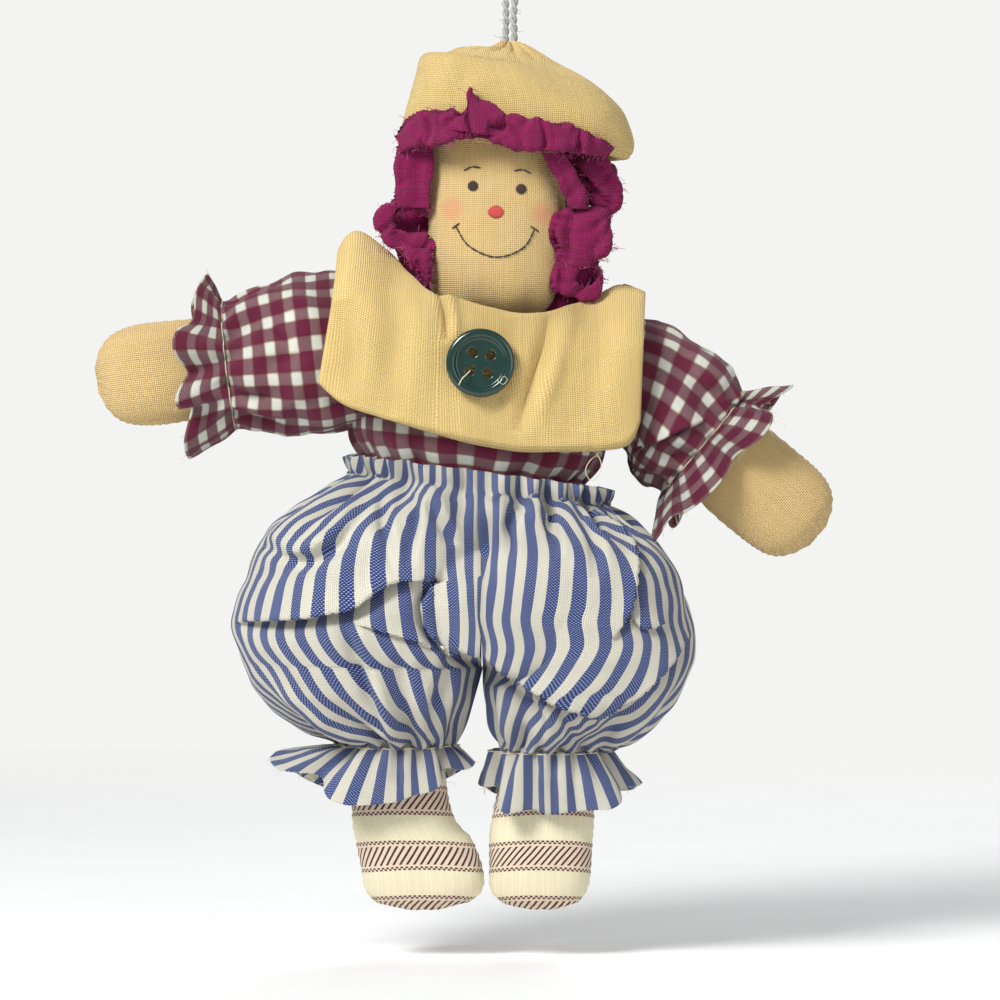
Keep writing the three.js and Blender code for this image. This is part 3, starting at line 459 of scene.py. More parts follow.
class Graph:
    """The node tree of a material or a world, with short ways to add to it."""

    def __init__(self, owner: bpy.types.Material | bpy.types.World) -> None:
        """Empties the tree.

        Args:
            owner: What the tree belongs to.
        """
        owner.use_nodes = True
        self.owner = owner
        self.nodes, self.links = owner.node_tree.nodes, owner.node_tree.links
        self.nodes.clear()

    def node(self, kind: str, inputs: dict[int | str, Value], out: int | str = 0, **settings: str) -> Signal:
        """Adds one node.

        Args:
            kind: Its type, without the ShaderNode before it.
            inputs: What goes into it, by its sockets' numbers or names.
            out: The output that is wanted.
            settings: Its own settings.

        Returns:
            That output.
        """
        node = self.nodes.new("ShaderNode" + kind)
        for name, setting in settings.items():
            setattr(node, name, setting)
        for key, value in inputs.items():
            socket = node.inputs[key]
            if isinstance(value, Signal):
                self.links.new(value.socket, socket)
            else:
                socket.default_value = value[:3] if socket.type == "VECTOR" else value
        return Signal(self, node.outputs[out])

    def show(self, shader: Signal, kind: str) -> None:
        """Ends the tree in its output node."""
        self.links.new(shader.socket, self.nodes.new("ShaderNodeOutput" + kind).inputs[0])

    def surface(self, inputs: dict[int | str, Value]) -> bpy.types.Material:
        """Ends a material in its shader, with these inputs."""
        self.show(self.node("BsdfPrincipled", inputs), "Material")
        return self.owner

    def math(self, operation: str, *values: Value) -> Signal:
        """One Math node's result, from its operation's name and its inputs."""
        return self.node("Math", dict(enumerate(values)), operation=operation)

    def mix(self, share: Value, first: Value, second: Value) -> Signal:
        """A colour between two, by share."""
        return self.node("Mix", {0: share, 6: first, 7: second}, 2, data_type="RGBA")

    def tint(self, colour: Value, share: Value) -> Signal:
        """A colour made lighter or darker by a share, where 1 leaves it."""
        return self.node("VectorMath", {0: colour, "Scale": share}, operation="SCALE")

    def deepen(self, colour: Value, share: float) -> Signal:
        """A colour as light shows it that has bounced between yarns: darker and more saturated."""
        return self.tint(self.node("VectorMath", {0: colour, 1: colour}, operation="MULTIPLY"), share)

    def noise(self, vector: Signal, scale: float, detail: float = 2.0) -> Signal:
        """Noise from 0 to 1 over a vector."""
        return self.node("TexNoise", {"Vector": vector, "Scale": scale, "Detail": detail})

    def place(self) -> Signal:
        """The point's place on its object, in metres."""
        return self.node("TexCoord", {}, "Object")

    def parts(self, vector: Signal) -> list[Signal]:
        """A vector's x, y and z."""
        outputs = self.node("SeparateXYZ", {0: vector}).socket.node.outputs
        return [Signal(self, output) for output in outputs]

    def flat(self) -> list[Signal]:
        """The point's place on the flat cloth, across and along, in metres."""
        return self.parts(self.node("UVMap", {}, uv_map="Flat"))[:2]

    def bump(self, height: Signal, distance: float, strength: float = 1.0) -> Signal:
        """The normals of a surface that is raised by a height from 0 to 1 times distance."""
        return self.node("Bump", {"Height": height, "Distance": distance, "Strength": strength})

    def band(self, value: Signal, period: float, start: float, end: float) -> Signal:
        """1 where value, counted within its period, lies between start and end, and 0 elsewhere."""
        part = self.math("FLOORED_MODULO", value, period)
        return (part > start) * (part < end)

    def fade(self, value: Signal, near: float, far: float, most: float) -> Signal:
        """most as far as near, and then smoothly down to 0 at far."""
        inputs = {"Value": value, "From Min": near, "From Max": far, "To Min": most, "To Max": 0.0}
        return self.node("MapRange", inputs, interpolation_type="SMOOTHSTEP")


class Pattern(Enum):
    """What colours the yarns of a cloth."""

    PLAIN = "plain"
    CHECK = "check"
    TICKING = "ticking"
    ROPE_BANDS = "rope bands"


@dataclass(frozen=True)
class Finish(ABC):
    """What a piece is made of, with the material slot that it belongs to."""

    name: str
    slot: str

    def material(self) -> bpy.types.Material:
        """The finish's material, made once."""
        return bpy.data.materials.get(self.name) or self.make(Graph(bpy.data.materials.new(self.name)))

    @abstractmethod
    def make(self, graph: Graph) -> bpy.types.Material:
        """Fills a new material's graph, and gives the material back."""


@dataclass(frozen=True)
class WovenCloth(Finish):
    """A plain-woven cloth.

    The warp runs along the flat cloth and the weft across it, and each yarn shows its own colour
    where it lies on top.
    """

    yarn: float
    main: Colour
    other: Colour = (0, 0, 0)
    third: Colour = (0, 0, 0)
    pattern: Pattern = Pattern.PLAIN
    period: float = 5 * MM
    other_from: float = 2.5 * MM
    other_to: float = 5 * MM
    gap_share: float = 0.2
    sheen: float = 0.12
    soil: float = 0.12
    warp_cover: float = 0.0
    main_cover: float = 0.0

    def yarn_colour(self, graph: Graph, along: Signal, count: Signal) -> Signal:
        """The colour of the yarn at a place across its own direction.

        Args:
            graph: The material's graph.
            along: That place, in metres.
            count: The yarn's number, which varies its shade.

        Returns:
            The colour.
        """
        colour: Value = linear(*self.main)
        if self.pattern in (Pattern.CHECK, Pattern.TICKING):
            banded = graph.band(along, self.period, self.other_from, self.other_to)
            colour = graph.mix(banded, colour, linear(*self.other))
        if self.pattern is Pattern.CHECK:
            first = graph.band(along, self.period, self.other_from, self.other_from + self.yarn)
            last = graph.band(along, self.period, self.other_to - self.yarn, self.other_to)
            colour = graph.mix(first + last, colour, linear(*self.third))
        shade = graph.noise(graph.node("CombineXYZ", {0: count * 0.73}), 1.0)
        return graph.tint(colour, shade * 0.3 + 0.85)

    def make(self, graph: Graph) -> bpy.types.Material:
        """Weaves the yarns, with their colours, painted shade in the gaps between them, their wear and their bump.

        Args:
            graph: The new material's graph.

        Returns:
            The material.
        """
        place = graph.place()
        wobble = graph.noise(place, 90.0) * (1.2 * self.yarn) - 0.6 * self.yarn
        across, along = (way + wobble for way in graph.flat())
        u, v = across / self.yarn, along / self.yarn
        warp_no, weft_no = graph.math("FLOOR", u), graph.math("FLOOR", v)
        warp = self.raised(graph, u, v + warp_no - 0.5)
        weft = self.raised(graph, v, u + weft_no + 0.5)
        height = graph.math("MAXIMUM", warp, weft)
        warp_on_top = (warp - weft) * 4.0 + (0.5 + self.warp_cover)
        warp_colour = self.yarn_colour(graph, across, warp_no)
        pale_warp = graph.band(across, self.period, self.other_from, self.other_to)
        if self.pattern is Pattern.CHECK:
            pale_weft = graph.band(along, self.period, self.other_from, self.other_to)
            warp_on_top = (pale_weft - pale_warp) * self.main_cover + warp_on_top
            weft_colour = self.yarn_colour(graph, along, weft_no)
        elif self.pattern is Pattern.TICKING:
            # Painted shade: inside the blue stripes the weft takes the third colour, darker and bluer than the cream,
            # for the shade of the blue warps around it.
            weft_colour = graph.mix(pale_warp, linear(*self.third), graph.tint(linear(*self.other), 0.88))
        else:
            weft_colour = graph.tint(warp_colour, 0.95)
        colour = graph.mix(graph.node("Clamp", {0: warp_on_top}), weft_colour, warp_colour)
        if self.pattern is Pattern.ROPE_BANDS:
            colour = self.rope_bands(graph, colour, across, along)
        # Painted shade: the gaps between the yarns are darkened toward the deepened colour, and gap_share is how much
        # of the yarn's own colour stays in the deepest gaps.
        lit = graph.math("POWER", height, 0.6) * (1 - self.gap_share) + self.gap_share
        worn = graph.noise(place, 55.0, 4.0) * (2 * self.soil) + (1 - self.soil)
        colour = graph.tint(graph.mix(lit, graph.deepen(colour, 0.55), colour), worn)
        raised = graph.noise(place, 2600.0) * 0.25 + height
        return graph.surface({
            "Base Color": self.dyed(graph, colour, place),
            "Roughness": height * -0.12 + 0.95,
            "Specular IOR Level": 0.25,
            "Sheen Weight": self.sheen,
            "Sheen Roughness": 0.5,
            "Normal": graph.bump(raised, 0.6 * self.yarn),
        })

    def dyed(self, graph: Graph, colour: Signal, place: Signal) -> Signal:
        """The colour with what is dyed on the woven cloth: nothing, on most cloths."""
        return colour

    def raised(self, graph: Graph, own: Signal, phase: Signal) -> Signal:
        """How high a yarn stands, from 0 to 1: round across itself, and up at every second crossing."""
        profile = graph.math("ABSOLUTE", graph.math("SINE", own * math.pi))
        return profile * (graph.math("COSINE", phase * math.pi) * 0.5 + 0.5)

    def rope_bands(self, graph: Graph, colour: Signal, across: Signal, along: Signal) -> Signal:
        """Woven rope lines, and a band of slanted strokes between every second pair.

        Args:
            graph: The material's graph.
            colour: The plain cloth's colour.
            across: The place across the flat cloth.
            along: The place along it.

        Returns:
            The colour with the bands.
        """
        ink = linear(*self.third)
        part = graph.math("FLOORED_MODULO", along, self.period)
        colour = graph.mix(part < self.other_to, colour, graph.mix(0.45, colour, linear(*self.other)))
        step = graph.math("FLOORED_MODULO", across, ROPE_PITCH)
        wave = (step > ROPE_PITCH / 2) * (2 * ROPE_AMPLITUDE) - ROPE_AMPLITUDE
        riser = graph.math("PINGPONG", step, ROPE_PITCH / 4) < ROPE_THICK / 4
        for middle in (ROPE_MARGIN, self.other_to - ROPE_MARGIN):
            off = part - middle
            rope = graph.math("ABSOLUTE", off - wave) < ROPE_THICK
            near = graph.math("ABSOLUTE", off) < ROPE_AMPLITUDE
            colour = graph.mix(graph.math("MAXIMUM", rope, riser * near), colour, ink)
        stroke = graph.band(across + part * 0.85, STROKE_PITCH, 0.0, STROKE_THICK)
        inside = (part > STROKE_MARGIN) * (part < self.other_to - STROKE_MARGIN)
        return graph.mix(stroke * inside, colour, ink)


ROPE_PITCH = 1.15 * MM
ROPE_AMPLITUDE = 0.22 * MM
ROPE_THICK = 0.2 * MM
ROPE_MARGIN = 0.5 * MM
STROKE_PITCH = 1.6 * MM
STROKE_THICK = 0.62 * MM
STROKE_MARGIN = 1.35 * MM

LINEN = WovenCloth("woven_tan_linen", "linen", 0.48 * MM, (230, 200, 140), gap_share=0.1)
MUSTARD = WovenCloth("woven_mustard_cotton", "mustard_cloth", 0.46 * MM, (234, 206, 138), gap_share=0.1, soil=0.09)
HAIR = WovenCloth("woven_burgundy_cotton", "hair_cloth", 0.46 * MM, (152, 28, 92), gap_share=0.0, sheen=0.05)
CHECK = WovenCloth("woven_check_cotton", "check_cotton", 0.315 * MM, (112, 22, 58), (228, 230, 220), (196, 186, 146),
                   Pattern.CHECK, 6.3 * MM, 3.465 * MM, 6.3 * MM, main_cover=2.9)
# The ticking's third colour is its weft inside the blue stripes: the cream, darkened and blued as painted shade.
TICKING = WovenCloth("woven_blue_ticking", "ticking", 5.0 / 14 * MM, (38, 55, 116), (230, 226, 210), (158, 172, 212),
                     Pattern.TICKING, 5.0 * MM, 2.5 * MM, 5.0 * MM, warp_cover=1.8)
BOOT_COTTON = WovenCloth("woven_rope_band_cotton", "boot_cotton", 0.36 * MM, (255, 246, 212), (236, 204, 190),
                         (96, 44, 54), Pattern.ROPE_BANDS, 12.9 * MM, 0.0, 7.1 * MM, gap_share=0.4)


@dataclass(frozen=True)
class SpunThread(Finish):
    """A twisted thread or twine: slanted plies with loose fibres."""

    colour: Colour
    ply: float = 0.6 * MM
    rough: float = 0.85

    def make(self, graph: Graph) -> bpy.types.Material:
        """Twists the plies, and paints shade into the grooves between them.

        Args:
            graph: The new material's graph.

        Returns:
            The material.
        """
        across, along = graph.flat()
        fibres = graph.noise(graph.place(), 3200.0, 3.0)
        # Painted shade: the colour is darker where height is low, in the grooves between the plies, and varies at
        # random with the fibres.
        height = graph.math("SINE", (across + along * 1.4) * (2 * math.pi / self.ply)) * 0.5 + 0.5
        return graph.surface({
            "Base Color": graph.tint(linear(*self.colour), height * 0.22 + (fibres * 0.3 + 0.65)),
            "Roughness": self.rough,
            "Sheen Weight": 0.2,
            "Normal": graph.bump(height + fibres, 0.12 * self.ply),
        })


@dataclass(frozen=True)
class MouldedPlastic(Finish):
    """Glossy plastic with faint flow marks and fine scratches."""

    colour: Colour
    rough: float = 0.16

    def make(self, graph: Graph) -> bpy.types.Material:
        """Moulds and polishes it.

        Args:
            graph: The new material's graph.

        Returns:
            The material.
        """
        place = graph.place()
        marks = graph.noise(place, 260.0, 4.0)
        return graph.surface({
            "Base Color": graph.tint(linear(*self.colour), marks * 0.7 + 0.65),
            "Roughness": graph.noise(place, 1500.0, 4.0) * 0.16 + (self.rough - 0.06),
            "Coat Weight": 0.4,
            "Coat Roughness": 0.08,
            "Normal": graph.bump(marks, 0.05 * MM, 0.5),
        })


TWINE = SpunThread("cotton_twine", "twine", (174, 176, 172))
SEWING = SpunThread("sewing_thread", "thread", (226, 212, 176), ply=0.3 * MM)
ELASTIC = SpunThread("knit_elastic", "elastic", (232, 230, 222))
BROWN_FLOSS = SpunThread("brown_floss", "thread", (58, 38, 34), ply=0.25 * MM)
RED_FLOSS = SpunThread("red_floss", "thread", (196, 62, 54), ply=0.25 * MM, rough=0.6)
BURGUNDY_FRAY = SpunThread("burgundy_fray", "hair_cloth", (176, 60, 116), ply=0.25 * MM)
CREAM_FRAY = SpunThread("cream_fray", "check_cotton", (226, 216, 186), ply=0.25 * MM)
BLUE_FRAY = SpunThread("ticking_fray", "ticking", (206, 202, 186), ply=0.25 * MM)
BUTTON_PLASTIC = MouldedPlastic("green_plastic", "button_plastic", (20, 48, 42))


def wear(obj: Object, finish: Finish) -> None:
    """Gives an object its finish's material and no other."""
    obj.data.materials.clear()
    obj.data.materials.append(finish.material())


def dress(obj: Object, finish: Finish, body: str | None, nodes: Sequence[str] = ()) -> Object:
    """Gives a piece its finish and its place in the frame.

    Args:
        obj: The piece.
        finish: What it is made of.
        body: The body that it rides on, or None where it rides on none.
        nodes: The nodes that it stands for.

    Returns:
        The same piece.
    """
    wear(obj, finish)
    if body is not None:
        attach(obj, body)
    if nodes:
        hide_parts(*nodes)
    LOG.info("%s: %d faces", obj.name, len(obj.data.polygons))
    return obj


def stuff(skin: Skin, name: str, finish: Finish, body: str, nodes: Sequence[str]) -> Object:
    """Builds one stuffed piece.

    Args:
        skin: Its shape.
        name: Its name.
        finish: What it is made of.
        body: The body that it rides on.
        nodes: The nodes that it stands for.

    Returns:
        The piece.
    """
    piece = dress(skin.build(name, caps=True), finish, body, nodes)
    return piece


def sew(skin: Skin, name: str, finish: Finish, body: str | None, node: str, thick: float = 0.4) -> Object:
    """Builds one piece of single cloth, which is thickened inward.

    Args:
        skin: Its outside.
        name: Its name.
        finish: What it is made of.
        body: The body that it rides on, or None where it rides on none.
        node: The node that it stands for.
        thick: The cloth's thickness in millimetres.

    Returns:
        The piece.
    """
    cloth = skin.build(name)
    modifier = cloth.modifiers.new("cloth", "SOLIDIFY")
    modifier.thickness, modifier.offset, modifier.use_even_offset = thick * MM, -1.0, False
    return dress(cloth, finish, body, [node])


def fray(
    name: str, edge: Array, outward: Array, finish: Finish, body: str, count: int, long: float, seed: int
) -> None:
    """Loose yarn ends along a raw edge.

    Args:
        name: The object's name.
        edge: Points along the edge.
        outward: The way out of the cloth at each point.
        finish: The yarn's finish.
        body: The body that they ride on.
        count: How many ends.
        long: The usual length of an end.
        seed: Which of many sets of ends it is.
    """
    draw = random.Random(SEED * 1000 + seed)
    lines = []
    tufts = [draw.randrange(len(edge)) for _ in range(max(count // 7, 3))]
    steps = np.linspace(0, 1, 9)[:, None]
    for _ in range(count):
        at = int(draw.choice(tufts) + draw.gauss(0, 3.5)) if draw.random() < 0.7 else draw.randrange(len(edge))
        at = min(max(at, 0), len(edge) - 1)
        length = long * min(0.35 + draw.expovariate(1.6), 2.2)
        way = unit(0.8 * outward[at] + np.array([draw.gauss(0, 0.6) for _ in range(3)]))
        bend = np.array([draw.gauss(0, 0.5) for _ in range(3)]) - np.array([0, 0, 0.25])
        start = edge[at] - 0.15 * long * unit(outward[at])
        curl = 0.16 * np.sin(2 * math.pi * (draw.uniform(0.4, 1.1) * steps)) * unit(np.cross(way, bend))
        lines.append(start + length * (steps * way + 0.6 * steps**2 * bend + curl))
    dress(tube_mesh(name, lines, [draw.uniform(0.03, 0.07) * MM for _ in lines], sides=4), finish, body)


# Folds


@dataclass(frozen=True)
class Crease:
    """A fold line on the front or the back of a garment, by its pixels in the photograph's frame.

    The cloth sinks along the line. Where it is lapped, the side to the left of the line's travel hangs
    over the other one. Its sizes are in millimetres.
    """

    route_px: Rows
    deep: float
    wide: float
    hang: float
    swell: float
    front: bool = True
    lapped: bool = False

    def fold(self, skin: Skin) -> None:
        """Presses the fold into a skin.

        Args:
            skin: The skin, whose points are moved.
        """
        deep, wide, hang, swell = (size * MM for size in (self.deep, self.wide, self.hang, self.swell))
        line = even_route(PLANE.line(self.route_px), 40)
        points = skin.points
        start, step = line[:-1, [0, 2]], np.diff(line, axis=0)[:, [0, 2]]
        flat = PLANE.seen(points).reshape(-1, 1, 2)
        along = np.clip(((flat - start) * step).sum(-1) / (step * step).sum(-1), 0, 1)
        gap = flat - (start + along[..., None] * step)
        away = np.linalg.norm(gap, axis=-1)
        nearest = away.argmin(axis=1)
        pick = np.arange(len(nearest))
        shape = points.shape[:2]
        over_way = unit(np.stack([-step[:, 1], step[:, 0]], axis=1))[nearest]
        side = ((gap[pick, nearest] * over_way).sum(-1) >= 0) * 2.0 - 1.0
        side = (side * away[pick, nearest]).reshape(shape)
        share = ((nearest + along[pick, nearest]) / len(step)).reshape(shape)
        fade = np.clip(np.sin(math.pi * np.clip(share, 0, 1)), 0, 1) ** 0.6
        normal = skin.normals()
        hold = fade * smooth_step(0.1, 0.5, -normal[..., 1] if self.front else normal[..., 1])
        if self.lapped:
            over = smooth_step(-0.15 * wide, 0.15 * wide, side)
            lip = np.exp(-np.maximum(side, 0) / (1.8 * wide))
            amount = over * swell * lip - (1 - over) * deep * bump_at(side, 0, 1.3 * wide)
            shift = over * hang * np.exp(-np.maximum(side, 0) / (1.2 * wide))
        else:
            amount = -deep * bump_at(side, 0, wide) + swell * bump_at(side, 1.6 * wide, wide)
            shift = hang * bump_at(side, 0.7 * wide, wide)
        skin.points = points + normal * (hold * amount)[..., None]
        skin.points[..., [0, 2]] -= (hold * shift)[..., None] * over_way.reshape(*shape, 2)


def valley(deep: float, wide: float, *route_px: tuple[float, float]) -> Crease:
    """A narrow valley in front, with its depth and half width in millimetres."""
    return Crease(route_px, deep, wide, 0.0, 0.35 * deep)


def lap(deep: float, wide: float, hang: float, *route_px: tuple[float, float]) -> Crease:
    """A fold in front whose upper side hangs over its lower side, with sizes in millimetres."""
    return Crease(route_px, deep, wide, hang, 0.6 * deep, lapped=True)


def dent(deep: float, wide: float, swell: float, *route_px: tuple[float, float], front: bool = True) -> Crease:
    """A broad dent, with a swell of its own size beside it, in millimetres."""
    return Crease(route_px, deep, wide, 0.0, swell, front)


def pleats(around: Array, count: float, seed: int) -> Array:
    """Uneven waves round a gathered edge.

    Args:
        around: Shares round the edge, 0 to 1.
        count: How many waves go round.
        seed: Which of many sets of waves it is.

    Returns:
        Values from -1 to 1, sharper inward than outward.
    """
    draw = random.Random(SEED * 77 + seed)
    phase = count * around
    for waves in (2, 3, 5):
        phase = phase + draw.uniform(0.25, 0.5) / waves * np.sin(2 * math.pi * (waves * around + draw.random()))
    wave = np.cos(2 * math.pi * phase)
    return 1 - 2 * np.abs(0.5 - 0.5 * wave) ** 1.4


# Camera, light and floor


@dataclass
class Studio:
    """The camera at the photograph's view, soft lamps and a pale floor."""

    floor_high: float = -290 * MM
    floor_half: float = 0.9
    aim: Point = (0, 0, -0.17)

    def place_camera(self) -> None:
        """Looks along +Y so that the frame matches the photograph's."""
        data = bpy.data.cameras.new("camera")
        data.lens, data.sensor_width = PLANE.lens, PLANE.sensor
        data.clip_start, data.clip_end = 0.01, 20.0
        camera = linked("camera", data)
        camera.location = tuple(PLANE.eye)
        camera.rotation_euler = (math.pi / 2, 0, 0)
        bpy.context.scene.camera = camera

    def lamp(self, name: str, place: Point, size: float, power: float) -> None:
        """One soft square lamp that faces the doll.

        Args:
            name: Its name.
            place: Where it stands.
            size: Its side.
            power: Its power in watts.
        """
        data = bpy.data.lights.new(name, "AREA")
        data.size, data.energy = size, power
        lamp = linked(name, data)
        lamp.location = place
        lamp.rotation_mode = "QUATERNION"
        lamp.rotation_quaternion = (Vector(self.aim) - Vector(place)).to_track_quat("-Z", "Y")

    def light(self) -> None:
        """Places the lamps and the pale world, which the camera sees brighter than the doll does."""
        self.lamp("key_lamp", (-0.5, -0.6, 0.4), 0.34, 11.5)
        self.lamp("fill_lamp", (0.7, -0.8, 0.05), 0.8, 3.4)
        self.lamp("back_lamp", (0.3, 0.9, 0.5), 0.7, 6.0)
        graph = Graph(bpy.data.worlds.new("pale_world"))
        rays = (graph.node("LightPath", {}, ray) for ray in ("Is Camera Ray", "Is Transmission Ray"))
        dim = graph.node("Background", {"Color": (0.93, 0.95, 1.0, 1), "Strength": 0.34})
        bright = graph.node("Background", {"Color": (0.9, 0.9, 0.89, 1)})
        graph.show(graph.node("MixShader", {0: graph.math("MAXIMUM", *rays), 1: dim, 2: bright}), "World")
        bpy.context.scene.world = graph.owner

    def lay_floor(self) -> None:
        """A pale floor whose edge fades into the world."""
        half, high = self.floor_half, self.floor_high
        plan = [(-half, -half, high), (half, -half, high), (half, half, high), (-half, half, high)]
        floor = mesh_object("floor", plan, [(0, 1, 2, 3)])
        graph = Graph(bpy.data.materials.new("pale_floor"))
        place = graph.place()
        x, y, _ = graph.parts(place)
        floor.data.materials.append(graph.surface({
            "Base Color": graph.tint((0.83, 0.83, 0.82), graph.noise(place, 30.0, 4.0) * 0.06 + 0.97),
            "Roughness": 0.9,
            "Alpha": graph.fade(graph.math("SQRT", x * x + y * y), 0.25, half, 1.0),
        }))


# Twine loop


@dataclass
class TwineLoop:
    """Two strands of twisted twine that the doll hangs by, and their knot inside the cap."""

    diameter: float = 1.7 * MM
    twist: float = 4.2 * MM
    ply_share: float = 0.27
    route_mm: Rows = (
        (-2.2, -76.8), (-2.2, -73), (-2.2, -67), (-2.9, -50), (-5, -32), (-5.5, -16), (-5, -6.5), (-3.2, -1.4),
        (0, 0.85), (3.2, -1.4), (5, -6.5), (5.5, -16), (4.6, -32), (2.1, -50), (-0.2, -67), (-0.2, -73),
        (-0.2, -76.8),
    )

    def build(self) -> None:
        line = even_route(np.array([(x * MM, 0.0, z * MM) for x, z in self.route_mm]), 700)
        run = run_along(line)
        side = unit(np.cross(unit(np.gradient(line, axis=0)), BACK))
        plies = []
        for ply in range(2):
            turn = 2 * math.pi * run / self.twist + ply * math.pi
            offset = np.cos(turn)[:, None] * side + np.sin(turn)[:, None] * BACK
            plies.append(line + self.ply_share * self.diameter * offset)
        radius = (0.5 - self.ply_share) * self.diameter * 1.12
        loop = dress(tube_mesh("twine_loop", plies, [radius] * 2, sides=8), TWINE, "head", ["hang_loop"])
        wear(bpy.data.objects["loop_knot"], TWINE)
        fray("twine_fibres", line + 0.4 * self.diameter * side, side, TWINE, "head", 90, 1.5 * MM, 1)


# Head, face, hair and cap


@dataclass
class Head:
    """The stuffed head with its side seams, and a stitched face."""

    broad: float = 32 * MM
    tall: float = 57 * MM
    deep: float = 26 * MM
    tilt: float = math.radians(1)
    bottom: Point = (-4.7 * MM, 0.0, -140 * MM)
    rows: Rows = (
        (0, 0.3, 0.22), (0.02, 0.76, 0.5), (0.08, 0.93, 0.78), (0.2, 0.99, 0.95), (0.42, 1, 1), (0.65, 0.99, 0.97),
        (0.84, 0.93, 0.88), (0.95, 0.62, 0.6), (1, 0.2, 0.22),
    )
    columns: int = 144

    def build(self) -> None:
        """Builds the head and sews its face."""
        across = np.array([math.cos(self.tilt), 0, -math.sin(self.tilt)])
        upward = np.array([math.sin(self.tilt), 0, math.cos(self.tilt)])
        rows = smooth_rows(self.rows, 110)
        angles = turn_round(self.columns)
        skin = Skin(np.array([
            ring(np.array(self.bottom) + upward * up * self.tall, across, broad * self.broad / 2,
                 deep * self.deep / 2, angles, 2.5)
            for up, broad, deep in rows
        ]))
        skin.lay_flat()
        up = rows[:, 0][:, None]
        pucker = 0.1 * MM * np.cos(2 * math.pi * 26 * up) * side_seam(angles, 0.06)
        lumps = 0.35 * MM * rumple(skin.points, 16 * MM, 3)
        neck_folds = 0.35 * MM * np.cos(9 * angles)[None, :] * bump_at(up, 0.0, 0.12)
        skin.push(lumps + pucker + neck_folds - 0.45 * MM * side_seam(angles, 0.0035) * smooth_step(0.02, 0.1, up))
        finish = BlushedLinen("woven_face_linen", LINEN.slot, LINEN.yarn, LINEN.main)
        self.sew_face(stuff(skin, "stuffed_head", finish, "head", ["head"]))

    def on_face(self, surface: BVHTree, px: float, py: float, proud: float) -> Array:
        """The point on the head's front behind one pixel, a little proud of it."""
        hit, normal, _, _ = surface.ray_cast(Vector(PLANE.eye), Vector(PLANE.at(px, py) - PLANE.eye).normalized())
        return np.array(hit) + proud * np.array(normal)

    def stitches(self, surface: BVHTree, route_px: Route, count: int) -> list[Array]:
        """Backstitches along a line on the face.

        Args:
            surface: The head's surface.
            route_px: The line, in pixels.
            count: How many stitches it has.

        Returns:
            Each stitch's points: in at its ends and proud between them.
        """
        dense = even_route(np.array([(px, 0.0, py) for px, py in route_px]), 7 * count + 1)
        proud = 0.22 * MM * np.sin(np.linspace(0.12, math.pi - 0.12, 8))
        return [
            np.array([self.on_face(surface, p[0], p[2], h) for p, h in zip(dense[7 * at : 7 * at + 8], proud)])
            for at in range(count)
        ]

    def satin(self, surface: BVHTree, centre_px: tuple[float, float], wide: float, tall: float) -> list[Array]:
        """A filled patch of side by side stitches.

        Args:
            surface: The head's surface.
            centre_px: The patch's middle, in pixels.
            wide: Its breadth in pixels.
            tall: Its height in pixels.

        Returns:
            Each stitch's points.
        """
        lines = []
        count = max(int(wide * PLANE.pixel / (0.3 * MM)), 4)
        for share in (np.arange(count) + 0.5) / count * 2 - 1:
            half = tall / 2 * math.sqrt(max(1 - share * share, 0.02))
            proud = 0.35 * MM * math.sqrt(1 - 0.8 * share * share) * np.sin(np.linspace(0.25, math.pi - 0.25, 7))
            px = centre_px[0] + share * wide / 2
            downs = centre_px[1] + np.linspace(-half, half, 7)
            lines.append(np.array([self.on_face(surface, px, py, h) for py, h in zip(downs, proud)]))
        return lines

    def sew_face(self, head: Object) -> None:
        """Sews round eyes, straight brows, a button nose and a smile, all of plain stitches.

        Args:
            head: The stuffed head.
        """
        surface = BVHTree.FromObject(head, bpy.context.evaluated_depsgraph_get())
        dark = [line for eye in ((473, 186), (521, 189)) for line in self.satin(surface, eye, 10, 11)]
        for count, route in (
            (2, [(464, 171), (472, 167), (481, 168)]),
            (2, [(514, 171), (523, 170), (531, 174)]),
            (12, [(456, 226), (466, 243), (481, 253), (496, 257), (512, 254), (526, 245), (534, 230)]),
            (1, [(452, 229), (460, 223)]),
            (1, [(530, 226), (539, 232)]),
        ):
            dark += self.stitches(surface, route, count)
        dress(tube_mesh("stitched_features", dark, [0.2 * MM] * len(dark), sides=6), BROWN_FLOSS, "head")
        red = self.satin(surface, (496, 212), 15, 13)
        dress(tube_mesh("stitched_nose", red, [0.24 * MM] * len(red), sides=6), RED_FLOSS, "head")


@dataclass(frozen=True)
class BlushedLinen(WovenCloth):
    """Linen with two soft round blushes dabbed on its cheeks."""

    cheeks_px: Rows = ((453, 212), (542, 217))
    cheek_half: float = 3.6 * MM
    blush: Colour = (226, 128, 104)

    def dyed(self, graph: Graph, colour: Signal, place: Signal) -> Signal:
        """Dabs the cheeks on, in front only.

        Args:
            graph: The material's graph.
            colour: The cloth's colour.
            place: The point's place.

        Returns:
            The colour with the cheeks.
        """
        x, y, z = graph.parts(place)
        for px, py in self.cheeks_px:
            middle_x, _, middle_z = PLANE.at(px, py).tolist()
            across, up = x - middle_x, z - middle_z
            away = graph.math("SQRT", across * across + up * up)
            share = graph.fade(away, 0.35 * self.cheek_half, self.cheek_half, 0.42) * (y < 0.0)
            colour = graph.mix(share, colour, linear(*self.blush))
        return colour


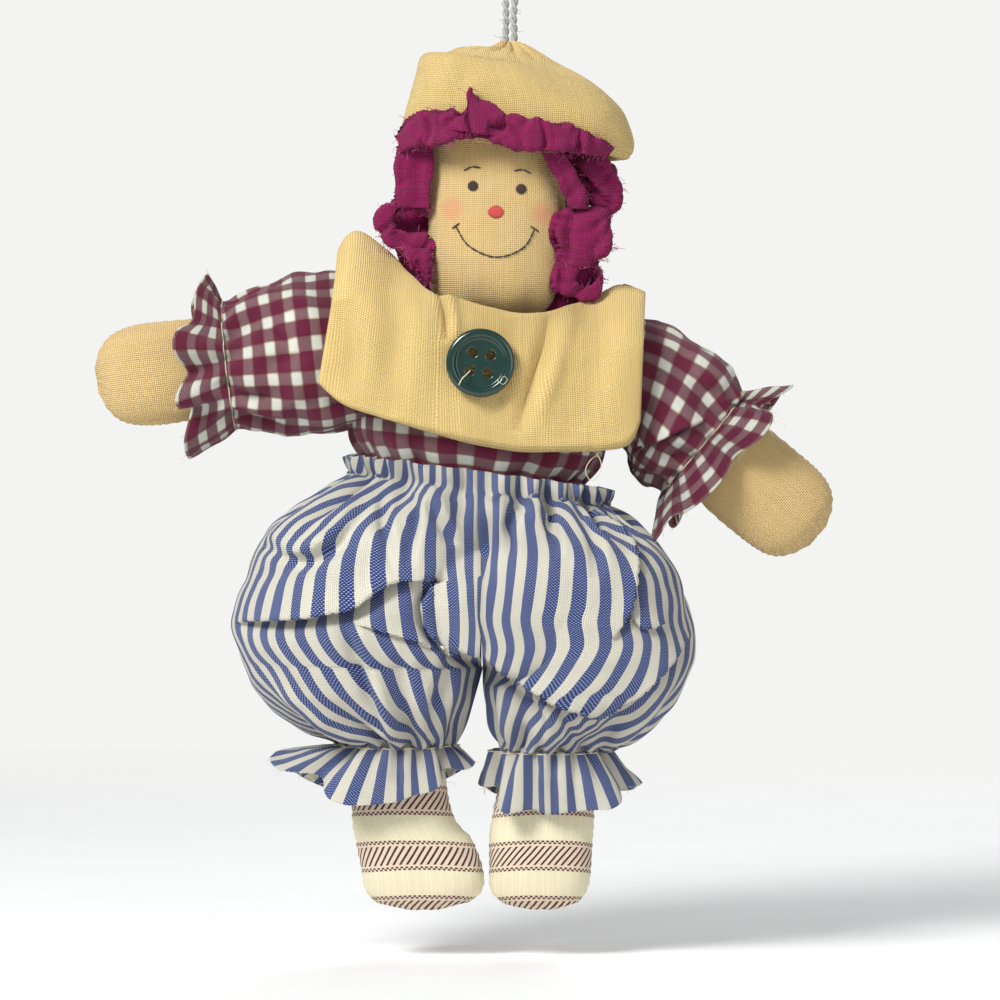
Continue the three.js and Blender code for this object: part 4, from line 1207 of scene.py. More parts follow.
@dataclass(frozen=True)
class HairStrip:
    """One torn strip of cloth, crumpled and folded, with frayed edges.

    Each row gives one edge and the other in the photograph's frame, and then how far back the strip
    lies there and how fat it is, in millimetres, as the crumple is.
    """

    name: str
    rows: Rows
    creases: tuple[Crease, ...] = ()
    node: str | None = None
    frays: int = 60
    crumple: float = 0.6
    ragged: float = 0.3

    def build(self, seed: int) -> None:
        """Crumples the strip between its edges and frays them.

        Args:
            seed: Which of many crumples it has.
        """
        sides = 72
        grid = []
        for row, (px, py, far_px, far_py, y, fat) in enumerate(smooth_rows(self.rows, 30 * (len(self.rows) - 1) + 1)):
            left, right = PLANE.at(px, py, y * MM), PLANE.at(far_px, far_py, y * MM)
            torn = self.ragged * MM * noise.noise(Vector((0.9 * row, 3.7 * seed, 0.0)))
            half = float(np.linalg.norm(right - left)) / 2 + torn
            grid.append(ring((left + right) / 2, unit(right - left), half, 0.8 * fat * MM, turn_round(sides), 3.4))
        skin = Skin(np.array(grid))
        skin.lay_flat()
        slanted = skin.points @ np.array([[1.0, 0.0, 0.45], [0.0, 1.0, 0.0], [-0.45, 0.0, 1.0]])
        large = facets(slanted * np.array([1.25, 1.0, 0.7]), 8.0 * MM, seed)
        small = facets(slanted, 3.6 * MM, seed + 50)
        soft = rumple(skin.points, 7 * MM, seed + 90)
        skin.push(self.crumple * MM * (1.5 * large + 0.25 * small + 0.5 * soft - 1.1))
        for crease in self.creases:
            crease.fold(skin)
        stuff(skin, self.name, HAIR, "head", [self.node] if self.node else [])
        middles = skin.points.mean(axis=1)
        edges = [skin.points[:, sides // 4], skin.points[:, 3 * sides // 4], skin.points[0], skin.points[-1]]
        ways = [unit(edge - core) for edge, core in zip(edges, (middles, middles, middles[:1], middles[-1:]))]
        ways[2] = ways[2] - 0.8 * unit(middles[1] - middles[0])
        ways[3] = ways[3] + 0.8 * unit(middles[-1] - middles[-2])
        fray(self.name + "_fray", np.concatenate(edges), unit(np.concatenate(ways)), BURGUNDY_FRAY, "head",
             self.frays, 1.1 * MM, seed)


HAIR_STRIPS = (
    HairStrip("hair_fringe_strip", (
        (396, 133, 401, 152, -10.5, 1.6), (402, 122, 412, 148, -12.5, 2.2), (412, 113, 424, 147, -14.6, 2.6),
        (423, 108, 436, 145, -16.2, 2.8), (438, 109, 447, 142, -17.4, 2.8), (452, 107, 457, 141, -18.2, 2.6),
        (463, 110, 467, 140, -18.6, 2.6), (470, 88, 474, 139, -18.8, 1.9), (480, 97, 481, 139, -18.9, 2.2),
        (495, 105, 490, 142, -19.0, 2.2), (508, 113, 504, 149, -19.0, 2.6), (526, 116, 524, 153, -18.8, 2.9),
        (544, 120, 544, 152, -18.4, 2.5), (562, 122, 560, 152, -17.8, 2.8), (577, 126, 575, 154, -17.0, 2.3),
        (592, 134, 586, 157, -15.6, 2.2), (606, 139, 596, 159, -14.0, 1.9), (615, 146, 603, 161, -12.4, 1.3),
    ), (
        valley(1.3, 0.8, (464, 106), (470, 124), (473, 141)), valley(2.2, 1.3, (486, 126), (496, 128), (508, 124)),
        valley(1.1, 0.6, (541, 118), (546, 136), (543, 153)), valley(1.6, 0.8, (579, 126), (581, 142), (577, 157)),
        valley(1.0, 0.8, (422, 112), (430, 128), (424, 146)), valley(0.9, 0.7, (438, 130), (456, 116), (462, 111)),
        valley(0.8, 0.9, (508, 122), (520, 138), (524, 152)), lap(0.7, 0.9, 0.4, (446, 128), (472, 132), (500, 136)),
    ), "hair_fringe", frays=240),
    HairStrip("hair_left_strip", (
        (401, 138, 434, 140, -9.3, 1.6), (395, 150, 434, 151, -9.4, 1.9), (394, 166, 433, 167, -9.4, 1.8),
        (394, 182, 432, 182, -9.3, 1.8), (393, 197, 431, 197, -9.0, 2.0), (395, 207, 430, 208, -8.4, 1.5),
    ), (
        valley(0.9, 1.5, (419, 142), (417, 170), (419, 207)), valley(0.5, 1.2, (404, 150), (402, 176), (405, 204)),
    ), "hair_left_front", frays=90, crumple=0.35),
    HairStrip("hair_left_loop", (
        (429, 205, 427, 215, -5.5, 1.6), (404, 203, 404, 212, -5.6, 2.0), (384, 205, 398, 214, -5.6, 2.3),
        (373, 221, 396, 221, -5.6, 2.6), (380, 237, 399, 229, -5.8, 2.6), (393, 248, 412, 231, -6.0, 2.7),
        (408, 259, 429, 235, -6.4, 2.6), (424, 266, 436, 246, -6.4, 2.0),
    ), (valley(0.8, 0.9, (386, 226), (404, 243), (424, 250)),), "hair_left_puff", frays=120, crumple=0.6),
    HairStrip("hair_left_backing", (
        (390, 200, 436, 200, 0.5, 2.6), (384, 220, 436, 222, 0.6, 3.0), (392, 240, 436, 242, 0.6, 3.0),
        (400, 260, 434, 262, 0.5, 2.2), (405, 278, 438, 280, 0.5, 2.0), (420, 294, 440, 294, 0.5, 1.4),
    ), frays=20),
    HairStrip("hair_left_tuft_strip", (
        (402, 250, 432, 248, -8.8, 1.6), (409, 260, 433, 258, -9.2, 1.8), (412, 270, 433, 268, -9.2, 1.6),
        (418, 278, 432, 277, -9.0, 1.2), (425, 283, 431, 283, -8.8, 0.7),
    ), (
        valley(1.0, 0.7, (419, 250), (420, 266), (425, 280)), valley(0.8, 0.6, (412, 256), (415, 268), (420, 276)),
    ), "hair_left_tuft", frays=130),
    HairStrip("hair_right_diagonal", (
        (543, 153, 568, 155, -14.6, 1.7), (550, 168, 574, 166, -14.0, 1.9), (558, 184, 582, 182, -13.0, 1.9),
        (564, 198, 588, 198, -12.0, 1.9), (570, 209, 590, 209, -11.0, 1.4),
    ), (valley(0.7, 1.0, (556, 156), (566, 178), (578, 206)),), "hair_right_front", frays=50, crumple=0.45),
    HairStrip("hair_right_lobe", (
        (566, 154, 600, 158, -7.5, 2.6), (572, 164, 612, 163, -6.8, 3.6), (578, 178, 620, 178, -6.2, 4.2),
        (584, 190, 622, 194, -6.0, 4.2), (588, 202, 620, 206, -6.2, 3.4), (592, 208, 612, 213, -6.4, 2.2),
    ), (
        lap(1.4, 1.2, 0.3, (574, 160), (592, 182), (612, 204)), valley(0.9, 1.0, (590, 158), (606, 178), (618, 196)),
    ), "hair_right_side", frays=110),
    HairStrip("hair_right_broad", (
        (566, 206, 606, 210, -7.6, 2.4), (554, 214, 612, 216, -8.0, 3.6), (548, 228, 612, 230, -8.2, 4.2),
        (547, 241, 611, 246, -8.2, 4.0), (554, 254, 604, 258, -8.0, 3.2), (562, 266, 590, 267, -7.6, 2.0),
    ), (
        valley(1.8, 1.0, (572, 212), (568, 236), (570, 264)), valley(0.8, 1.1, (594, 220), (598, 236), (592, 254)),
        valley(0.8, 0.8, (556, 222), (554, 238), (560, 254)),
    ), "hair_right_puff", frays=140),
    HairStrip("hair_right_bun", (
        (558, 260, 582, 266, -7.4, 2.0), (552, 276, 575, 276, -7.4, 2.4), (555, 293, 577, 284, -7.4, 2.5),
        (574, 300, 586, 285, -7.0, 2.4), (596, 299, 594, 284, -6.4, 2.3), (603, 285, 595, 278, -6.0, 1.9),
        (603, 268, 594, 268, -5.8, 1.6),
    ), (valley(0.9, 0.8, (560, 264), (563, 280), (574, 292)),), "hair_right_tuft", frays=130),
    HairStrip("hair_right_backing", (
        (560, 262, 600, 262, -3.4, 2.4), (554, 276, 602, 276, -3.2, 2.6), (550, 292, 600, 292, -3.4, 2.2),
        (548, 304, 592, 302, -3.4, 1.8), (548, 314, 588, 308, -3.4, 1.4),
    ), frays=20),
    HairStrip("hair_left_side_backing", (
        (410, 146, 430, 146, 4.5, 6.5), (404, 172, 431, 174, 4.6, 8.0), (408, 200, 431, 201, 5, 6.8),
        (402, 226, 431, 228, 5, 7.8), (406, 252, 432, 253, 5, 7.2), (413, 276, 434, 276, 5, 5.8),
        (424, 292, 436, 292, 5, 3.2),
    ), frays=60, crumple=0.9),
    HairStrip("hair_right_side_backing", (
        (558, 146, 584, 146, 4.5, 6.5), (560, 174, 589, 174, 4.6, 8.0), (562, 202, 585, 202, 5, 6.8),
        (562, 228, 588, 228, 5, 7.8), (559, 254, 586, 254, 5, 7.2), (556, 278, 580, 278, 5, 5.8),
        (554, 296, 566, 296, 5, 3.0),
    ), frays=60, crumple=0.9),
    HairStrip("hair_back_backing", (
        (436, 146, 554, 146, 12.4, 2.2), (426, 180, 563, 180, 13.4, 2.4), (424, 230, 564, 230, 13.6, 2.6),
        (426, 274, 560, 274, 12.6, 2.4), (434, 300, 552, 300, 11.2, 2.0),
    ), frays=90, crumple=0.8),
    HairStrip("hair_back_upper_strip", (
        (398, 168, 403, 200, 3.5, 2.0), (408, 160, 412, 208, 8.4, 2.8), (432, 154, 436, 216, 13.0, 3.2),
        (462, 158, 464, 218, 15.8, 3.6), (492, 153, 494, 214, 16.6, 3.3), (524, 158, 523, 218, 16.4, 3.6),
        (556, 154, 554, 214, 13.6, 3.2), (580, 160, 577, 208, 8.6, 2.8), (592, 168, 588, 200, 3.6, 2.0),
    ), tuple(
        dent(1.5, 1.2, 0.4, (x, 156), (x - 8, 186), (x + 3, 216), front=False) for x in (440, 474, 508, 546)
    ), "hair_back_upper", frays=110, crumple=0.9),
    HairStrip("hair_back_lower_strip", (
        (400, 232, 406, 256, 3.5, 2.0), (412, 224, 418, 266, 9.0, 2.8), (438, 218, 440, 274, 13.0, 3.0),
        (468, 222, 466, 277, 15.0, 3.3), (498, 218, 500, 275, 15.4, 3.1), (530, 222, 528, 277, 14.4, 3.3),
        (556, 222, 552, 272, 11.4, 2.8), (576, 230, 570, 262, 6.0, 2.2),
    ), tuple(
        dent(1.5, 1.2, 0.4, (x, 220), (x + 7, 248), (x - 3, 277), front=False) for x in (434, 462, 496, 530)
    ), "hair_back_lower", frays=110, crumple=0.9),
)


@dataclass
class Cap:
    """The soft cap, sewn on over the hair, with its edge turned in and gathers at the twine."""

    rows: Rows = (
        (503, 42, 514, 42, 1.4), (486, 50, 529, 49, 5.0), (460, 49, 546, 59, 8.6), (441, 56, 560, 66, 12.0),
        (423, 56.5, 580, 76, 14.6), (417, 76, 602, 90, 16.4), (409, 101, 623, 110, 17.2), (403, 122, 632, 132, 17.3),
        (399, 133, 634, 147, 16.6), (401, 140, 629, 158, 15.4), (408, 139, 620, 159, 14.6), (412, 128, 614, 148, 14.6),
    )
    creases: tuple[Crease, ...] = (
        dent(0.7, 2.6, 0.2, (470, 58), (462, 80), (452, 104)),
        dent(0.6, 3.0, 0.2, (520, 56), (560, 84), (604, 112)),
        dent(0.8, 3.4, 0.3, (480, 60), (540, 90), (600, 140), front=False),
        dent(0.8, 3.0, 0.3, (440, 70), (450, 100), (455, 130), front=False),
    )
    columns: int = 180

    def build(self) -> None:
        """Builds the cap from rings between its left and right edges in the frame."""
        grid = []
        for left_px, left_py, right_px, right_py, deep in smooth_rows(self.rows, 120):
            left, right = PLANE.at(left_px, left_py), PLANE.at(right_px, right_py)
            half = float(np.linalg.norm(right - left)) / 2
            grid.append(ring((left + right) / 2, unit(right - left), half, deep * MM, turn_round(self.columns), 2.35))
        skin = Skin(np.array(grid))
        skin.lay_flat()
        down = np.linspace(0, 1, len(grid))[:, None]
        around = np.arange(self.columns)[None, :] / self.columns
        gathers = 0.5 * MM * pleats(around, 16, 5) * bump_at(down, 0.1, 0.13)
        soft = 0.9 * MM * rumple(skin.points, 14 * MM, 8) * smooth_step(0.05, 0.25, down)
        stitched = 0.12 * MM * np.cos(2 * math.pi * 60 * around) * bump_at(down, 0.8, 0.03)
        skin.push(gathers + soft + stitched - 0.35 * MM * bump_at(down, 0.8, 0.012))
        for crease in self.creases:
            crease.fold(skin)
        cap = sew(skin, "cloth_cap", MUSTARD, "head", "cap", thick=0.5)


# Torso, shirt, collar and button


@dataclass
class Torso:
    """The stuffed torso and its neck, under the shirt."""

    neck: Point = (-5.1 * MM, 0.0, -135.5 * MM)
    lean: float = math.radians(6.7)
    tall: float = 60 * MM
    broad: float = 46.8 * MM
    deep: float = 22 * MM
    rows: Rows = (
        (-0.04, 0.2, 0.42, 0), (0.07, 0.22, 0.42, 0), (0.13, 0.3, 0.46, 0), (0.2, 0.78, 0.84, 0),
        (0.3, 0.86, 0.97, 0.2), (0.4, 0.94, 1, 0.7), (0.48, 1, 1, 1), (0.6, 1, 1, 0.9), (0.7, 1, 0.98, 0.05),
        (0.8, 1, 0.98, 0.3), (0.9, 0.94, 0.92, 0.3), (0.97, 0.8, 0.76, 0.3), (1, 0.62, 0.55, 0.3),
    )

    def rings(self, ends: tuple[float, float], grow: float, loose: float, loose_deep: float, count: int,
              columns: int) -> Skin:
        """Rings of the torso, or of cloth that lies over it.

        Args:
            ends: Where they start and end, as shares of the torso's height.
            grow: How far outside the torso they lie.
            loose: How much wider loose cloth is.
            loose_deep: How much deeper it is.
            count: How many rings.
            columns: Points of a ring.

        Returns:
            The skin through them.
        """
        downward = np.array([-math.sin(self.lean), 0, -math.cos(self.lean)])
        across = np.array([math.cos(self.lean), 0, -math.sin(self.lean)])
        table = smooth_rows(self.rows, 400)
        table = table[np.argsort(table[:, 0])]
        grid = []
        for share in np.linspace(*ends, count):
            broad, deep, slack = (np.interp(share, table[:, 0], table[:, column]) for column in (1, 2, 3))
            half = broad * self.broad / 2 + grow + slack * loose
            depth = deep * self.deep / 2 + grow + slack * loose_deep
            place = np.array(self.neck) + share * self.tall * downward
            grid.append(ring(place, across, half, depth, turn_round(columns)))
        return Skin(np.array(grid))

    def build(self) -> None:
        """Builds the torso."""
        skin = self.rings((-0.04, 1), 0, 0, 0, 60, 72)
        skin.lay_flat()
        skin.push(0.3 * MM * rumple(skin.points, 10 * MM, 12))
        stuff(skin, "stuffed_torso", LINEN, "torso", ["torso"])


@dataclass
class Shirt:
    """The check shirt's body, gathered under the trousers' waist."""

    torso: Torso
    loose: float = 5.2 * MM
    loose_deep: float = 3 * MM

    def build(self) -> None:
        """Builds the shirt's body with its soft folds."""
        skin = self.torso.rings((0.14, 0.8), 1.3 * MM, self.loose, self.loose_deep, 110, 220)
        around = np.arange(220)[None, :] / 220
        down = np.linspace(0, 1, 110)[:, None]
        gathers = pleats(around, 17, 21) * 0.7 * MM * smooth_step(0.55, 0.85, down)
        soft = pleats(around, 8, 22) * 0.6 * MM * bump_at(down, 0.62, 0.3)
        skin.push(gathers + soft + 0.7 * MM * rumple(skin.points, 9 * MM, 23))
        skin.lay_flat(width=24 * CHECK.period, length=46 * MM)
        shirt = sew(skin, "shirt_cloth", CHECK, "torso", "shirt_body")


@dataclass
class Collar:
    """The square collar: a front and a back panel of doubled cloth that meet along the shoulders."""

    broad: float = 77 * MM
    tall: float = 50.8 * MM
    left: float = 46.3 * MM
    top: float = -119.9 * MM
    deep: float = 18.2 * MM
    thick: float = 1.7 * MM
    edge_round: float = 1.6 * MM
    mirror_px: float = 980
    rows: Rows = (
        (0.067, 0.09, 0, 0.7, 0.02, 0.9), (0.12, 0, 0.08, 0.8, 0.02, 0.95), (0.24, 0.13, 0.2, 0.86, 0.2, 1),
        (0.34, 0.27, 0.32, 0.91, 0.86, 1), (0.42, 0.3, 0.44, 0.955, 0.88, 1), (0.52, 0.345, 0.53, 0.98, 0.88, 1),
        (0.62, 0.375, 0.62, 1, 0.88, 1), (0.71, 0.36, 0.72, 1, 0.86, 1), (0.83, 0.31, 0.86, 0.995, 0.2, 0.98),
        (0.925, 0.25, 0.95, 0.965, 0.02, 0.98), (1, 0.28, 0.985, 0.86, 0.02, 0.98),
    )
    creases: tuple[Crease, ...] = (
        dent(1.9, 1.2, 1.0, (436, 292), (441, 302), (445, 318), (447, 342)),
        dent(1.7, 4.2, 0.9, (400, 262), (392, 290), (394, 330), (390, 380), (396, 416)),
        dent(2.6, 2.3, 1.6, (552, 300), (549, 320), (544, 345), (535, 372), (526, 398), (517, 434)),
        dent(0.8, 2.6, 0.5, (512, 318), (508, 345), (500, 385), (494, 425)),
        dent(1.3, 4.0, 0.8, (600, 300), (598, 340), (590, 380), (584, 430)),
        dent(1.0, 3.4, 0.6, (340, 300), (350, 350), (346, 396)),
    )

    def surface(self, sign: float) -> Array:
        """The panel's middle surface.

        Args:
            sign: -1 for the front panel and +1 for the back one.

        Returns:
            A grid of points, rows down from the neckline and columns across.
        """
        top_x, top_down, low_x, low_down, top_depth, full = smooth_rows(self.rows, 200).T
        downs = np.linspace(0, 1, 110)[:, None]
        rounding = 1 - (1 - np.minimum(downs / 0.42, 1)) ** 2
        x = -self.left + (top_x + (low_x - top_x) * downs) * self.broad
        depth = self.deep * (top_depth + (full - top_depth) * rounding)
        z = self.top - (top_down + (low_down - top_down) * downs) * self.tall
        return np.stack([x, sign * np.maximum(depth, 0.9 * MM), z], axis=2)

    def from_rim(self, grid: Array) -> Array:
        """How far each point lies from the panel's rim.

        Args:
            grid: The panel's points.

        Returns:
            The distances.
        """
        down = np.cumsum(np.linalg.norm(np.gradient(grid, axis=0), axis=2), axis=0)
        side = np.cumsum(np.linalg.norm(np.gradient(grid, axis=1), axis=2), axis=1)
        return np.minimum.reduce([down - down[:1], down[-1:] - down, side - side[:, :1], side[:, -1:] - side])

    def panel(self, name: str, sign: float, node: str, seed: int) -> None:
        """Builds one doubled panel with its turned edge.

        Args:
            name: The object's name.
            sign: -1 for the front panel and +1 for the back one.
            node: The node that it stands for.
            seed: Which of many rumples it has.
        """
        grid = self.surface(sign)
        rim = self.from_rim(grid)
        skin = Skin(PLANE.settled(grid), closed=False)
        for crease in self.creases:
            if sign > 0:
                mirrored = tuple((self.mirror_px - px, py) for px, py in crease.route_px)
                crease = replace(crease, route_px=mirrored, front=False)
            crease.fold(skin)
        outward = skin.normals()
        if (outward[..., 1] * sign).sum() < 0:
            outward = -outward
        soft = 0.5 * MM * rumple(skin.points, 13 * MM, seed)
        ripple = 0.25 * MM * rumple(skin.points, 4.5 * MM, seed + 1) * bump_at(rim, 0, 5 * MM)
        middle = skin.points + outward * (soft + ripple)[..., None]
        inside = np.clip(rim / self.edge_round, 0, 1)
        half = outward * (self.thick / 2 * np.sqrt(1 - (1 - inside) ** 2) + 0.06 * MM)[..., None]
        inner = middle - half
        below = np.arange(len(middle))[::-1, None] * self.tall / len(middle)
        across = np.linspace(0, 1, middle.shape[1])
        inner[..., 2] -= 0.9 * MM * np.exp(-below / (2.5 * MM)) * smooth_step(0.1, 0.5, across)
        loop = np.concatenate([middle + half, inner[::-1]])
        steps = np.linalg.norm(np.diff(loop, axis=0), axis=2).mean(axis=1)
        flat = np.dstack(np.meshgrid(skin.points[0, :, 0], np.concatenate([[0.0], np.cumsum(steps)])))
        panel = Skin(loop, closed=False, flat=flat).build(name, rims=self.rims(*loop.shape[:2]))
        dress(panel, MUSTARD, "torso", [node])

    def rims(self, rows: int, columns: int) -> Array:
        """The faces that join the outer and inner layers along the neckline and the sides.

        Args:
            rows: The rows of both layers together.
            columns: Points of a row.

        Returns:
            Four points' numbers for each face.
        """
        index = np.arange(rows * columns).reshape(rows, columns)
        top, low = index[[0, -1]]
        faces = [np.stack([top[1:], top[:-1], low[:-1], low[1:]], axis=1)]
        for column, order in ((0, 1), (-1, -1)):
            outer, inner = index[: rows // 2, column], index[rows // 2 :, column][::-1]
            faces.append(np.stack([outer[:-1], outer[1:], inner[1:], inner[:-1]], axis=1)[:, ::order])
        return np.concatenate(faces)

    def build(self) -> None:
        """Builds both panels."""
        self.panel("collar_front_panel", -1.0, "collar_front", 31)
        self.panel("collar_back_panel", 1.0, "collar_back", 33)


@dataclass
class Button:
    """A glossy four-hole button, turned a little, and the thread that holds it."""

    diameter: float = 15.9 * MM
    thick: float = 2.8 * MM
    rim: float = 0.75 * MM
    hole: float = 2.3 * MM
    hole_circle: float = 5.9 * MM
    turn: float = math.radians(-8)

    def profile(self) -> Rows:
        """The section of half the button.

        Returns:
            Radius and height pairs from the back's middle to the front's.
        """
        radius, thick, dish = self.diameter / 2, self.thick, self.thick - self.rim
        return (
            (0.0, 1.0 * MM), (0.3 * radius, 1.0 * MM), (0.58 * radius, 0.9 * MM), (0.66 * radius, 0.15 * MM),
            (0.8 * radius, 0.0), (0.92 * radius, 0.1 * MM), (0.985 * radius, 0.35 * thick), (radius, 0.55 * thick),
            (0.985 * radius, 0.8 * thick), (0.93 * radius, 0.95 * thick), (0.86 * radius, thick),
            (0.78 * radius, 0.97 * thick), (0.72 * radius, dish + 0.25 * self.rim), (0.66 * radius, dish),
            (0.4 * radius, dish - 0.05 * MM), (0.0, dish - 0.08 * MM),
        )

    def turned(self, name: str, centre: Array, outline: Rows, rows: int, sides: int) -> Object:
        """A body that is round about an axis along Y.

        Args:
            name: Its name.
            centre: The axis's point at height 0.
            outline: Radius and height pairs.
            rows: Rings along the smoothed outline.
            sides: Points of a ring.

        Returns:
            The object.
        """
        angles = 2 * math.pi * np.arange(sides) / sides
        circle = np.stack([np.cos(angles), 0 * angles, np.sin(angles)], axis=1)
        grid = np.array([centre - up * BACK + max(radius, 0.02 * MM) * circle for radius, up in outline])
        dense = smooth_rows(grid.reshape(len(outline), -1), rows).reshape(rows, sides, 3)
        return Skin(dense).build(name, caps=True)

    def build(self) -> None:
        """Turns the button, bores its holes, a little wider at the face, and sews it on."""
        low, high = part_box("button")
        centre = np.array([(low.x + high.x) / 2, high.y, (low.z + high.z) / 2])
        disc = self.turned("coat_button", centre, self.profile(), 60, 96)
        angles = [self.turn + eighth * math.pi / 4 for eighth in (1, 3, 5, 7)]
        places = [centre + np.array([math.cos(angle), 0, math.sin(angle)]) * self.hole_circle / 2 for angle in angles]
        dish, narrow, broad = self.thick - self.rim, self.hole / 2, self.hole / 2 + 0.16 * MM
        bore = ((narrow, -4 * MM), (narrow, dish + 0.3 * MM), (broad, dish), (broad, self.thick + MM))
        cutters = [self.turned("bore", place, bore, len(bore), 32) for place in places]
        for cutter in cutters:
            modifier = disc.modifiers.new("hole", "BOOLEAN")
            modifier.object, modifier.operation, modifier.solver = cutter, "DIFFERENCE", "EXACT"
        cut = bpy.data.meshes.new_from_object(disc.evaluated_get(bpy.context.evaluated_depsgraph_get()))
        disc.modifiers.clear()
        disc.data = cut
        for cutter in cutters:
            bpy.data.objects.remove(cutter)
        dress(disc, BUTTON_PLASTIC, "torso", ["button"])
        self.sew(*places[2:])

    def sew(self, left: Array, right: Array) -> None:
        """Runs the thread behind the button, up through one hole, with a loose tail, and a second tail.

        Args:
            left: The lower left hole's middle, at the button's back.
            right: The lower right hole's middle.
        """
        front = -self.thick / MM
        tail = ((right, 0, -0.45, 0), (right, -1.5, -0.45, 0), (left, 1.5, -0.45, 0), (left, 0, -0.45, 0),
                (left, 0, front + 0.4, 0), (left, -0.6, front - 0.4, -0.7), (left, -1.9, front - 0.55, -2.0),
                (left, -2.6, front - 0.6, -3.4))
        curl = ((right, 2.0, front - 0.2, -1.6), (right, 3.4, front - 0.3, -2.6), (right, 4.4, front - 0.2, -1.5),
                (right, 3.6, front - 0.25, -0.8), (right, 2.8, front + 0.3, -1.6))
        lines = [even_route(np.array([hole + MM * np.array(step) for hole, *step in route]), count)
                 for route, count in ((tail, 50), (curl, 34))]
        thread = tube_mesh("button_thread_ends", lines, [0.13 * MM, 0.06 * MM], sides=6)
        dress(thread, SEWING, "torso", ["button_thread"])


# Arms and sleeves


